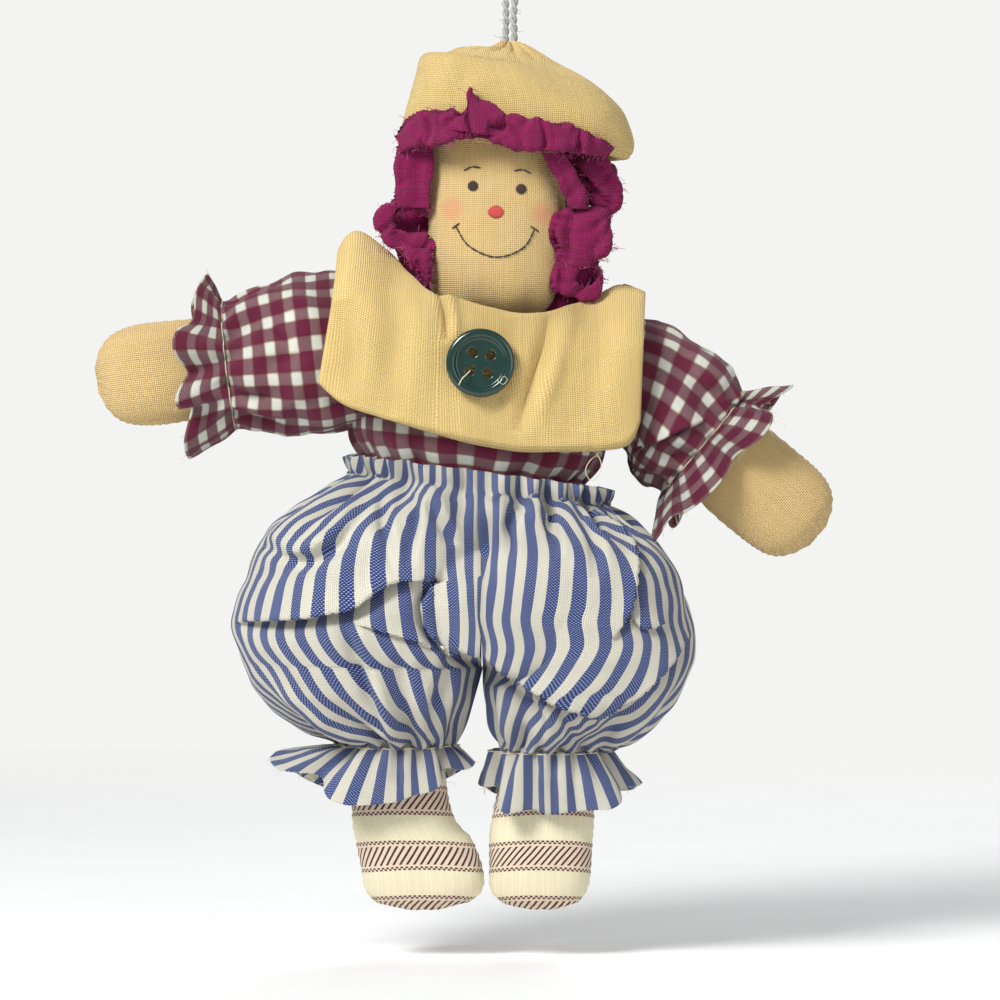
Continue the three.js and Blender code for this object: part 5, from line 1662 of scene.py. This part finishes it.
@dataclass
class Arm:
    """One arm: its unstuffed top, the stuffed arm and hand, its sleeve and the frill past the wrist."""

    side: str
    sign: float
    shoulder: Point
    drop: float
    bend_reach: float
    frill_up: float
    frill_down: float
    frill_reach: Point
    sleeve_rows: Rows
    creases: tuple[Crease, ...]
    seed: int
    reach: float = 62 * MM
    broad: float = 24 * MM
    deep: float = 16.4 * MM
    ball: float = 8.5 * MM
    wrist_reach: float = 26 * MM
    gather_half: float = 13.9 * MM
    gather_deep: float = 11.0 * MM
    flat_width: float = 17 * 6.3 * MM
    flat_length: float = 36 * MM
    columns: int = 200
    count: int = 120
    rows: Rows = (
        (-0.13, 0.5, 0.3), (-0.08, 0.76, 0.72), (0, 0.82, 1), (0.14, 0.86, 1), (0.26, 0.93, 1), (0.55, 1, 1),
        (0.78, 0.97, 0.95), (0.9, 0.84, 0.8), (0.965, 0.58, 0.5), (1, 0.24, 0.2),
    )

    @property
    def along(self) -> Array:
        """The way out along the arm."""
        return np.array([self.sign * math.cos(self.drop), 0, -math.sin(self.drop)])

    @property
    def across(self) -> Array:
        """The way up across it."""
        return np.array([self.sign * math.sin(self.drop), 0, math.cos(self.drop)])

    def place(self, reach: float, across: float = 0.0) -> Array:
        """A point in the arm's own frame, from its shoulder."""
        return np.array(self.shoulder) + reach * self.along + across * self.across

    def build_arm(self) -> None:
        """Builds the arm's top, and the stuffed arm and hand with their seam."""
        angles = turn_round(96)
        top = []
        for reach in np.linspace(-self.ball * 0.95, self.bend_reach - self.deep / 2 - 0.4 * MM, 24):
            share = min(max(-reach, 0) / self.ball, 0.99)
            radius = self.ball * math.sqrt(1 - share * share)
            top.append(ring(self.place(reach), self.across, radius, radius * 0.97, angles, 2.0))
        skin = Skin(np.array(top))
        skin.push(0.3 * MM * rumple(skin.points, 5 * MM, self.seed))
        stuff(skin, f"arm_upper_{self.side}", LINEN, f"shoulder_{self.side}", [f"arm_top_{self.side}"])
        ups = smooth_rows(self.rows, 110)
        skin = Skin(np.array([
            ring(self.place(self.bend_reach + reach * (self.reach - self.bend_reach)), self.across,
                 broad * self.broad / 2, deep * self.deep / 2, angles, 2.3)
            for reach, broad, deep in ups
        ]))
        skin.lay_flat()
        out = ups[:, :1]
        pucker = 0.12 * MM * np.cos(2 * math.pi * 30 * out) * side_seam(angles, 0.08)
        tip = 0.18 * MM * np.cos(22 * angles)[None, :] * bump_at(out, 1, 0.06)
        lumps = 0.45 * MM * rumple(skin.points, 11 * MM, self.seed + 1)
        skin.push(lumps - 0.4 * MM * side_seam(angles, 0.004) + pucker + tip)
        stuff(skin, f"stuffed_arm_{self.side}", LINEN, f"arm_{self.side}", [f"arm_{self.side}"])

    def build_sleeve(self) -> None:
        """Builds the puffed sleeve, gathered at the wrist."""
        grid = []
        for reach, across, lean, half, deep in smooth_rows(self.sleeve_rows, self.count):
            way = self.across * math.cos(lean) - self.along * math.sin(lean)
            place = self.place(reach * MM, across * MM)
            grid.append(ring(place, way, half * MM, deep * MM, turn_round(self.columns)))
        skin = Skin(np.array(grid))
        around = np.arange(self.columns)[None, :] / self.columns
        down = np.linspace(0, 1, self.count)[:, None]
        gathers = 1.1 * pleats(around, 15, self.seed) * smooth_step(0.74, 1.0, down)
        for high, waves, seed, middle, wide in ((1.5, 8, 2, 0.74, 0.22), (0.8, 6, 3, 0.1, 0.2)):
            gathers = gathers + high * pleats(around, waves, self.seed + seed) * bump_at(down, middle, wide)
        soft = 1.3 * rumple(skin.points, 8 * MM, self.seed + 4) * bump_at(down, 0.45, 0.35)
        skin.push(MM * (gathers + soft + 0.3 * rumple(skin.points, 3 * MM, self.seed + 5)))
        for crease in self.creases:
            crease.fold(skin)
        skin.lay_flat(width=self.flat_width, length=self.flat_length)
        sleeve = sew(skin, f"sleeve_cloth_{self.side}", CHECK, None, f"sleeve_{self.side}")
        start, end = self.place(self.bend_reach - 7 * MM), self.place(self.bend_reach + 8 * MM)
        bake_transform(sleeve)

    def build(self) -> None:
        """Builds the whole arm, with its frill and its elastic."""
        self.build_arm()
        self.build_sleeve()
        Frill(
            name=f"sleeve_ruffle_{self.side}", node=f"sleeve_frill_{self.side}", body=f"arm_{self.side}",
            finish=CHECK, yarn=CREAM_FRAY, centre=self.place(self.wrist_reach + 1.2 * MM), along=self.along,
            across=self.across, inner=(self.gather_half, self.gather_deep),
            hem=(self.frill_up, self.frill_down, 13.4 * MM), reach=self.frill_reach, flat_width=self.flat_width,
            seed=self.seed, pleat_count=15,
        ).build()
        wear(bpy.data.objects[f"wrist_elastic_{self.side}"], ELASTIC)


@dataclass
class Frill:
    """A gathered frill past an elastic, which flares to a raw hem.

    Its hem and its reach are given at the side toward across, at the other side and in front.
    """

    name: str
    node: str
    body: str
    finish: WovenCloth
    yarn: SpunThread
    centre: Array
    along: Array
    across: Array
    inner: tuple[float, float]
    hem: Point
    reach: Point
    flat_width: float
    seed: int
    pleat_count: float
    skew: float = 0.0
    columns: int = 260
    rows: int = 56
    flat_length: float = 17 * MM

    def build(self) -> None:
        """Builds the frill, its frayed hem and the thread that gathers it."""
        angles = turn_round(self.columns)
        cosine, sine = np.cos(angles), np.sin(angles)
        around = np.arange(self.columns) / self.columns
        fine = pleats(around, self.pleat_count, self.seed)
        broad = pleats(around, round(self.pleat_count / 2.3), self.seed + 7)
        uneven = 1 + 0.5 * np.sin(2 * math.pi * (2 * around + 0.13 * self.seed))
        up, down, deep = self.hem
        reach_up, reach_down, reach_front = self.reach
        half_in, deep_in = self.inner
        share = np.linspace(0, 1, self.rows)[:, None]
        wave = 1.25 * MM * fine * (1 - share) ** 1.2 + 2.9 * MM * uneven * broad * share * (1.1 - 0.3 * share)
        half = half_in + (np.where(cosine > 0, up, down) - half_in) * share**0.8 + wave
        depth = deep_in + (deep - deep_in) * share**0.8 + wave
        side_reach = (np.where(cosine > 0, reach_up, reach_down) - reach_front) * cosine**2
        reach = share * (reach_front + side_reach + self.skew * cosine * np.abs(sine)) + MM * uneven * broad * share
        steps = zip((cosine * half, sine * depth, reach), (self.across, BACK, self.along))
        skin = Skin(self.centre + sum(step[..., None] * way for step, way in steps))
        skin.push(0.35 * MM * rumple(skin.points, 4 * MM, self.seed + 8))
        skin.lay_flat(width=self.flat_width, length=self.flat_length)
        cloth = sew(skin, self.name, self.finish, self.body, self.node)
        hem = skin.points[-1]
        fray(self.name + "_fray", hem, unit(hem - skin.points[-6]), self.yarn, self.body, 80, 1.3 * MM, self.seed)
        stitches = 0.12 * MM + 0.2 * MM * np.cos(40 * angles)[:, None]
        route = skin.points[2] + stitches * skin.normals()[2]
        thread = tube_mesh(self.name + "_gathering_thread", [np.concatenate([route, route[:1]])], [0.12 * MM])
        dress(thread, SEWING, self.body)


LEFT_ARM = Arm(
    side="left", sign=-1.0, shoulder=(-39.95 * MM, 0.0, -147.82 * MM), drop=math.radians(6.8), bend_reach=14.5 * MM,
    frill_up=20.7 * MM, frill_down=19.6 * MM, frill_reach=(2 * MM, 11.5 * MM, 11 * MM), reach=58.5 * MM,
    sleeve_rows=(
        (-4, 0, 0, 17.6, 11.5), (3, 0, 0, 18.4, 12.4), (8, 0, 0, 18.9, 13.0), (14.3, 0, 0, 18.0, 13.0),
        (21, 0, 0, 15.8, 12.0), (25, 0, 0, 14.3, 11.2), (27.2, 0, 0, 13.9, 11.0),
    ),
    creases=(
        dent(1.0, 1.6, 0.6, (262, 326), (285, 340), (300, 352)),
        dent(1.0, 1.6, 0.5, (256, 372), (280, 360), (306, 356)),
        dent(0.8, 2.0, 0.5, (256, 405), (282, 412), (310, 410)),
    ),
    seed=41,
)

RIGHT_ARM = Arm(
    side="right", sign=1.0, shoulder=(23.51 * MM, 0.0, -151.35 * MM), drop=math.radians(40), bend_reach=18.5 * MM,
    frill_up=20.6 * MM, frill_down=25 * MM, frill_reach=(6 * MM, 5 * MM, 8.5 * MM),
    sleeve_rows=(
        (-3, -2.0, math.radians(40), 14.6, 10.0), (5.2, -1.5, math.radians(40), 16.4, 10.9),
        (12.5, -0.4, math.radians(20), 17.5, 12.6), (19.8, 0, math.radians(6), 16.7, 12.6),
        (23.4, 0, math.radians(2), 15.4, 11.6), (27.2, 0, 0, 13.9, 11.0),
    ),
    creases=(
        Crease(((632, 447), (661, 436), (683, 427), (706, 420)), 3.4, 1.4, 1.4, 1.2, lapped=True),
        dent(1.2, 1.2, 0.6, (724, 402), (736, 414), (748, 420)),
        dent(1.0, 1.6, 0.5, (690, 380), (710, 392), (728, 398)),
        dent(0.7, 2.4, 0.5, (672, 350), (690, 372), (700, 396)),
    ),
    seed=61,
)


# Trousers, legs and boots


@dataclass
class Leg:
    """One leg: its stuffed leg and boot, its half of the trousers and the frill past the ankle."""

    side: str
    sign: float
    hip: Point
    ankle: Point
    boot_left: float
    boot_broad: float
    boot_rows: Rows
    frill_hem: Point
    frill_reach: Point
    edge_rows: Rows
    creases: tuple[Crease, ...]
    seed: int
    seam: float = -7.75 * MM
    leg_half: float = 10.5 * MM
    leg_deep: float = 8 * MM
    boot_tall: float = 22.5 * MM
    boot_deep: float = 17 * MM
    sole: float = -279 * MM
    band_up: float = 27.6 * MM
    lean: float = math.radians(6.7)
    cuff_half: float = 13.2 * MM
    cuff_deep: float = 10.6 * MM
    flat_width: float = 36 * 5.0 * MM
    flat_length: float = 85 * MM
    cut_share: float = 0.9
    columns: int = 300
    rows: int = 230
    twist: float = 0.11
    frill_skew: float = 0.0

    def leg_rows(self) -> list[tuple[float, ...]]:
        """The leg's sections, from above the hip to the sole.

        Returns:
            For each its middle, half breadth, half depth and lean.
        """
        hip, ankle = np.array(self.hip), np.array(self.ankle)
        upward = np.array([math.sin(self.lean), 0, math.cos(self.lean)]) * self.leg_deep
        rows = [(*(hip + upward * up), broad * self.leg_half, deep * self.leg_deep, self.lean)
                for up, broad, deep in ((0.96, 0.5, 0.3), (0.7, 0.75, 0.72), (0, 0.85, 1.0))]
        rows.append((*((hip + ankle) / 2), self.leg_half, self.leg_deep, self.lean / 2))
        rows.append((*ankle, self.leg_half, self.leg_deep, 0.0))
        for down, left, far, deep in self.boot_rows:
            x = self.boot_left + self.boot_broad * (left + far) / 2
            z = self.sole + self.boot_tall * (1 - down)
            rows.append((x, 0.0, z, self.boot_broad * (far - left) / 2, deep * self.boot_deep / 2, 0.0))
        return rows

    def build_leg(self) -> None:
        """Builds the stuffed leg, whose end is the boot."""
        angles = turn_round(112)
        right = np.array([1.0, 0, 0])
        leaned = np.array([math.cos(self.lean), 0, -math.sin(self.lean)])
        grid = []
        for x, y, z, half, deep, lean in smooth_rows(self.leg_rows(), 200):
            way = math.cos(lean) * right + (leaned - right) * (math.sin(lean) / math.sin(self.lean))
            grid.append(ring(np.array([x, y, z]), unit(way), half, deep, angles, 2.5))
        skin = Skin(np.array(grid))
        skin.lay_flat()
        sag = 2.2 * MM * (1 - np.clip(skin.flat[..., 0] / (self.boot_broad * 0.75), -1, 1) ** 2)
        skin.flat[..., 1] = (self.sole + self.band_up) - skin.wrapped(skin.points)[..., 2] + sag
        high = skin.points[..., 2]
        pucker = 0.1 * MM * np.cos(high / (0.35 * MM)) * side_seam(angles, 0.06)
        sole_tuck = 0.15 * MM * np.cos(26 * angles)[None, :] * bump_at(high, self.sole, 2.5 * MM)
        lumps = 0.4 * MM * rumple(skin.points, 10 * MM, self.seed)
        skin.push(lumps - 0.4 * MM * side_seam(angles, 0.004) + pucker + sole_tuck)
        stuff(skin, f"stuffed_leg_{self.side}", BOOT_COTTON, f"leg_{self.side}", [f"leg_{self.side}"])

    def trouser_grid(self, turns: Array) -> Array:
        """The trouser half's smooth shape: open at the centre seam, and closed below the crotch.

        Args:
            turns: Shares of the way round, from the seam in front to the seam behind.

        Returns:
            A grid of points, with a row for each section.
        """
        grid = np.zeros((self.rows, self.columns, 3))
        for row, (outer_px, outer_py, inner_px, inner_py, deep) in enumerate(smooth_rows(self.edge_rows, self.rows)):
            outer, inner = PLANE.at(outer_px, outer_py), PLANE.at(inner_px, inner_py)
            left, right = (outer, inner) if self.sign < 0 else (inner, outer)
            half, middle, way = float(np.linalg.norm(right - left)) / 2, (left + right) / 2, unit(right - left)
            over = (1.1 * MM if self.sign > 0 else 0.0) * (1 - smooth_step(0.5, 0.58, row / self.rows))
            edge = self.seam + self.sign * 0.15 * MM - over
            reach = np.clip((edge - middle[0]) / (half * way[0]) * -self.sign, -1, 1)
            spread = math.pi - math.acos(float(np.sign(reach) * abs(reach) ** 1.1))
            outward = math.pi if self.sign < 0 else 0.0
            grid[row] = ring(middle, way, half, deep * MM, outward - (turns * 2 - 1) * spread * self.sign)
        return grid

    def build_trousers(self) -> None:
        """Builds this half of the trousers, with its gathers, its folds and its seam."""
        turns = np.linspace(0, 1, self.columns)
        grid = self.trouser_grid(turns)
        skin = Skin(grid, closed=False)
        around = turns[None, :]
        down = np.linspace(0, 1, self.rows)[:, None]
        off_seam = smooth_step(0.0, 0.04, around) * smooth_step(0.0, 0.04, 1 - around)
        gathers = 1.35 * (0.6 + pleats(around, 15, self.seed)) * bump_at(down, 0.0, 0.14)
        gathers = gathers - 0.45 * bump_at(down, 0.085, 0.025)
        for high, waves, seed, middle, wide in (
            (1.8, 8, 1, 0.17, 0.15), (1.0, 17, 2, 1.0, 0.09), (1.6, 8, 3, 0.84, 0.13),
        ):
            gathers = gathers + high * pleats(around, waves, self.seed + seed) * bump_at(down, middle, wide)
        soft = 1.5 * rumple(grid, 16 * MM, self.seed + 4) * bump_at(down, 0.5, 0.3)
        skin.push(MM * off_seam * (gathers + soft + 0.5 * rumple(grid, 6 * MM, self.seed + 5)))
        self.swell_middle(skin)
        for crease in self.creases:
            crease.fold(skin)
        at_seam = bump_at(around, 0, 0.02) + bump_at(around, 1, 0.02)
        lift = self.sign * 0.4 * MM * at_seam * (1 - smooth_step(0.5, 0.58, down))
        cleft = 2.6 * MM * at_seam * smooth_step(0.58, 0.68, down)
        skin.points[..., 1] += np.sign(skin.points[..., 1]) * (lift - cleft)
        skin.lay_flat(width=self.flat_width, length=self.flat_length)
        twisted = self.twist * np.sin(math.pi * down) ** 1.3 * np.cos(math.pi * (around - 0.5))
        skin.flat[..., 0] += twisted * self.flat_width + (2.5 * MM if self.sign > 0 else 0.0)
        cloth = sew(skin, f"trouser_cloth_{self.side}", TICKING, None, f"trousers_{self.side}")
        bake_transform(cloth)

    def swell_middle(self, skin: Skin) -> None:
        """Swells the soft lobe in front, where the right half's cloth hangs across the seam.

        Args:
            skin: The trouser half.
        """
        px, py = PLANE.pixels(skin.points)
        round_share = 1 - ((px - 522) / 97) ** 2 - ((py - 606) / 66) ** 2
        y = skin.points[..., 1]
        target = -(19.6 + 7.0 * np.clip(round_share, 0, 1) ** 0.7) * MM
        ahead = smooth_step(0.5 * MM, 3.5 * MM, -y)
        hold = ahead * smooth_step(0.0, 0.34, round_share) * smooth_step(528, 596, py)
        skin.points[..., 1] = y + hold * np.minimum(target - y, 0)

    def build(self) -> None:
        """Builds the whole leg, with its frill and its elastic."""
        self.build_leg()
        self.build_trousers()
        Frill(
            name=f"trouser_ruffle_{self.side}", node=f"trouser_frill_{self.side}", body=f"leg_{self.side}",
            finish=TICKING, yarn=BLUE_FRAY, centre=np.array(self.ankle) - np.array([0, 0, 1.0 * MM]),
            along=np.array([0, 0, -1.0]), across=np.array([1.0, 0, 0]), inner=(self.cuff_half, self.cuff_deep),
            hem=self.frill_hem, reach=self.frill_reach, flat_width=28 * TICKING.period, seed=self.seed + 9,
            pleat_count=17, skew=self.frill_skew,
        ).build()
        wear(bpy.data.objects[f"ankle_elastic_{self.side}"], ELASTIC)


LEFT_LEG = Leg(
    side="left", sign=-1.0, hip=(-26.97 * MM, 0.0, -201.7 * MM), ankle=(-27.5 * MM, 0.0, -239.3 * MM),
    boot_left=-38.3 * MM, boot_broad=31.2 * MM,
    boot_rows=(
        (0, 0, 0.76, 0.95), (0.28, 0.03, 0.91, 1), (0.57, 0.07, 0.985, 1), (0.8, 0.105, 0.98, 0.9),
        (0.93, 0.2, 0.87, 0.66), (1, 0.42, 0.66, 0.2),
    ),
    frill_hem=(16.6 * MM, 27 * MM, 14.5 * MM), frill_reach=(3 * MM, 1.0 * MM, 13 * MM), frill_skew=-3.5 * MM,
    edge_rows=(
        (351, 454, 605, 488, 17.0), (356, 474, 601, 508, 16.5), (343, 485, 570, 514, 17.4),
        (298, 507, 528, 526, 20.6), (262, 532, 504, 547, 23.4), (246, 576, 494, 585, 24.8),
        (235, 620, 488, 628, 24.8), (241, 654, 483, 660, 24.2), (260, 694, 474, 694, 21.6),
        (294, 724, 466, 720, 17.0), (334, 738, 458, 736, 12.8), (343, 744, 452, 744, 10.8),
    ),
    creases=(
        lap(
            4.6, 2.6, 2.8, (236, 623), (254, 618), (290, 614), (330, 606), (352, 600), (368, 589), (389, 579),
            (416, 577), (440, 582),
        ),
        lap(3.6, 1.8, 1.6, (450, 580), (430, 592), (426, 612), (434, 634), (452, 647), (486, 660)),
        valley(2.2, 1.7, (250, 536), (293, 560), (322, 554), (352, 524), (376, 490)),
        lap(1.4, 1.1, 0.8, (350, 621), (378, 629), (410, 638), (440, 650)),
        valley(3.2, 1.8, (342, 625), (357, 665), (370, 705), (384, 742)),
        valley(2.2, 1.6, (450, 656), (448, 676), (438, 704), (430, 738)),
        valley(2.0, 1.5, (382, 490), (384, 520), (392, 570)), valley(1.9, 1.4, (414, 494), (414, 520), (408, 566)),
        valley(1.8, 1.3, (428, 500), (440, 522), (456, 546)), valley(1.2, 1.6, (300, 536), (340, 516), (368, 490)),
        valley(1.0, 2.2, (258, 578), (310, 560), (366, 530)), valley(1.0, 2.0, (266, 650), (300, 694), (348, 738)),
        valley(1.0, 1.8, (400, 650), (404, 690), (404, 738)),
        Crease(((470, 622), (400, 612), (320, 622), (250, 600)), 3.4, 2.2, 2.4, 1.4, False, True),
        dent(1.4, 2.2, 0.8, (300, 520), (330, 560), (340, 600), front=False),
        dent(1.4, 2.2, 0.8, (420, 500), (400, 550), (410, 600), front=False),
        dent(1.6, 2.0, 0.8, (300, 660), (350, 690), (380, 730), front=False),
    ),
    seed=81,
)

RIGHT_LEG = Leg(
    side="right", sign=1.0, hip=(3.82 * MM, 0.0, -205.32 * MM), ankle=(8.2 * MM, 0.0, -240.5 * MM),
    boot_left=-6.4 * MM, boot_broad=25 * MM,
    boot_rows=(
        (0, 0.05, 1, 0.95), (0.28, 0.01, 0.99, 1), (0.57, 0, 0.97, 1), (0.8, 0.03, 0.94, 0.9),
        (0.93, 0.16, 0.84, 0.66), (1, 0.4, 0.62, 0.2),
    ),
    frill_hem=(20.7 * MM, 15.6 * MM, 14.5 * MM), frill_reach=(7 * MM, 7 * MM, 15.5 * MM),
    edge_rows=(
        (605, 488, 351, 454, 17.0), (601, 508, 356, 474, 16.5), (618, 518, 398, 491, 17.3),
        (640, 532, 436, 518, 21.0), (674, 564, 462, 552, 23.8), (690, 614, 474, 608, 24.8),
        (691, 656, 480, 654, 24.6), (670, 704, 484, 694, 21.8), (640, 732, 490, 720, 17.0),
        (616, 743, 498, 738, 12.6), (607, 748, 500, 748, 10.8),
    ),
    creases=(
        lap(4.8, 2.6, 3.2, (482, 654), (518, 668), (545, 686), (569, 701), (596, 716)),
        lap(3.2, 2.2, 1.8, (594, 720), (620, 703), (656, 670), (690, 634)),
        lap(2.6, 1.7, 1.3, (612, 640), (629, 610), (633, 562), (620, 530), (590, 508)),
        lap(1.4, 1.4, 0.8, (628, 612), (646, 628), (668, 622)), valley(1.8, 1.4, (492, 500), (486, 530), (484, 580)),
        valley(1.9, 1.3, (516, 504), (510, 526), (512, 556)), valley(1.9, 1.3, (546, 504), (552, 528), (560, 556)),
        valley(1.8, 1.6, (572, 500), (592, 530), (600, 580)), valley(1.0, 1.8, (600, 498), (640, 540), (668, 590)),
        valley(1.8, 1.6, (500, 672), (530, 706), (548, 742)), valley(1.4, 1.8, (640, 700), (616, 720), (600, 744)),
        valley(1.2, 1.4, (556, 706), (568, 724), (572, 744)),
        Crease(((680, 640), (620, 622), (560, 634), (500, 610)), 3.4, 2.2, 2.4, 1.4, False, True),
        dent(1.4, 2.2, 0.8, (520, 510), (540, 560), (530, 600), front=False),
        dent(1.4, 2.2, 0.8, (610, 520), (630, 570), (610, 610), front=False),
        dent(1.6, 2.0, 0.8, (620, 670), (590, 700), (560, 740), front=False),
    ),
    seed=101,
)


def loose_threads() -> None:
    """The thread end that was left at the waist when the doll was sewn."""
    route = np.array([PLANE.at(px, py) + y * MM * BACK for px, py, y in (
        (604, 447, -13.5), (596, 455, -15.5), (588, 462, -16.4), (584, 472, -16.6), (590, 481, -16.6),
        (598, 474, -17.0), (599, 462, -16.8), (592, 452, -16.0), (584, 450, -15.8),
    )])
    dress(tube_mesh("waist_thread_end", [even_route(route, 80)], [0.1 * MM], sides=6), SEWING, "torso")


# The whole doll


def main() -> None:
    """Builds the doll, piece by piece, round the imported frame."""
    logging.basicConfig(level=logging.INFO, format="%(name)s %(message)s")
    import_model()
    studio = Studio()
    studio.place_camera()
    TwineLoop().build()
    studio.light()
    studio.lay_floor()
    Head().build()
    Cap().build()
    for seed, strip in enumerate(HAIR_STRIPS):
        strip.build(200 + seed)
    torso = Torso()
    for piece in (torso, Shirt(torso), Collar(), Button(), LEFT_ARM, RIGHT_ARM, LEFT_LEG, RIGHT_LEG):
        piece.build()
    loose_threads()
    wear(bpy.data.objects["waist_elastic"], ELASTIC)
    bpy.context.scene.view_settings.view_transform = "Standard"
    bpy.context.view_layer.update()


if __name__ == "__main__":
    main()
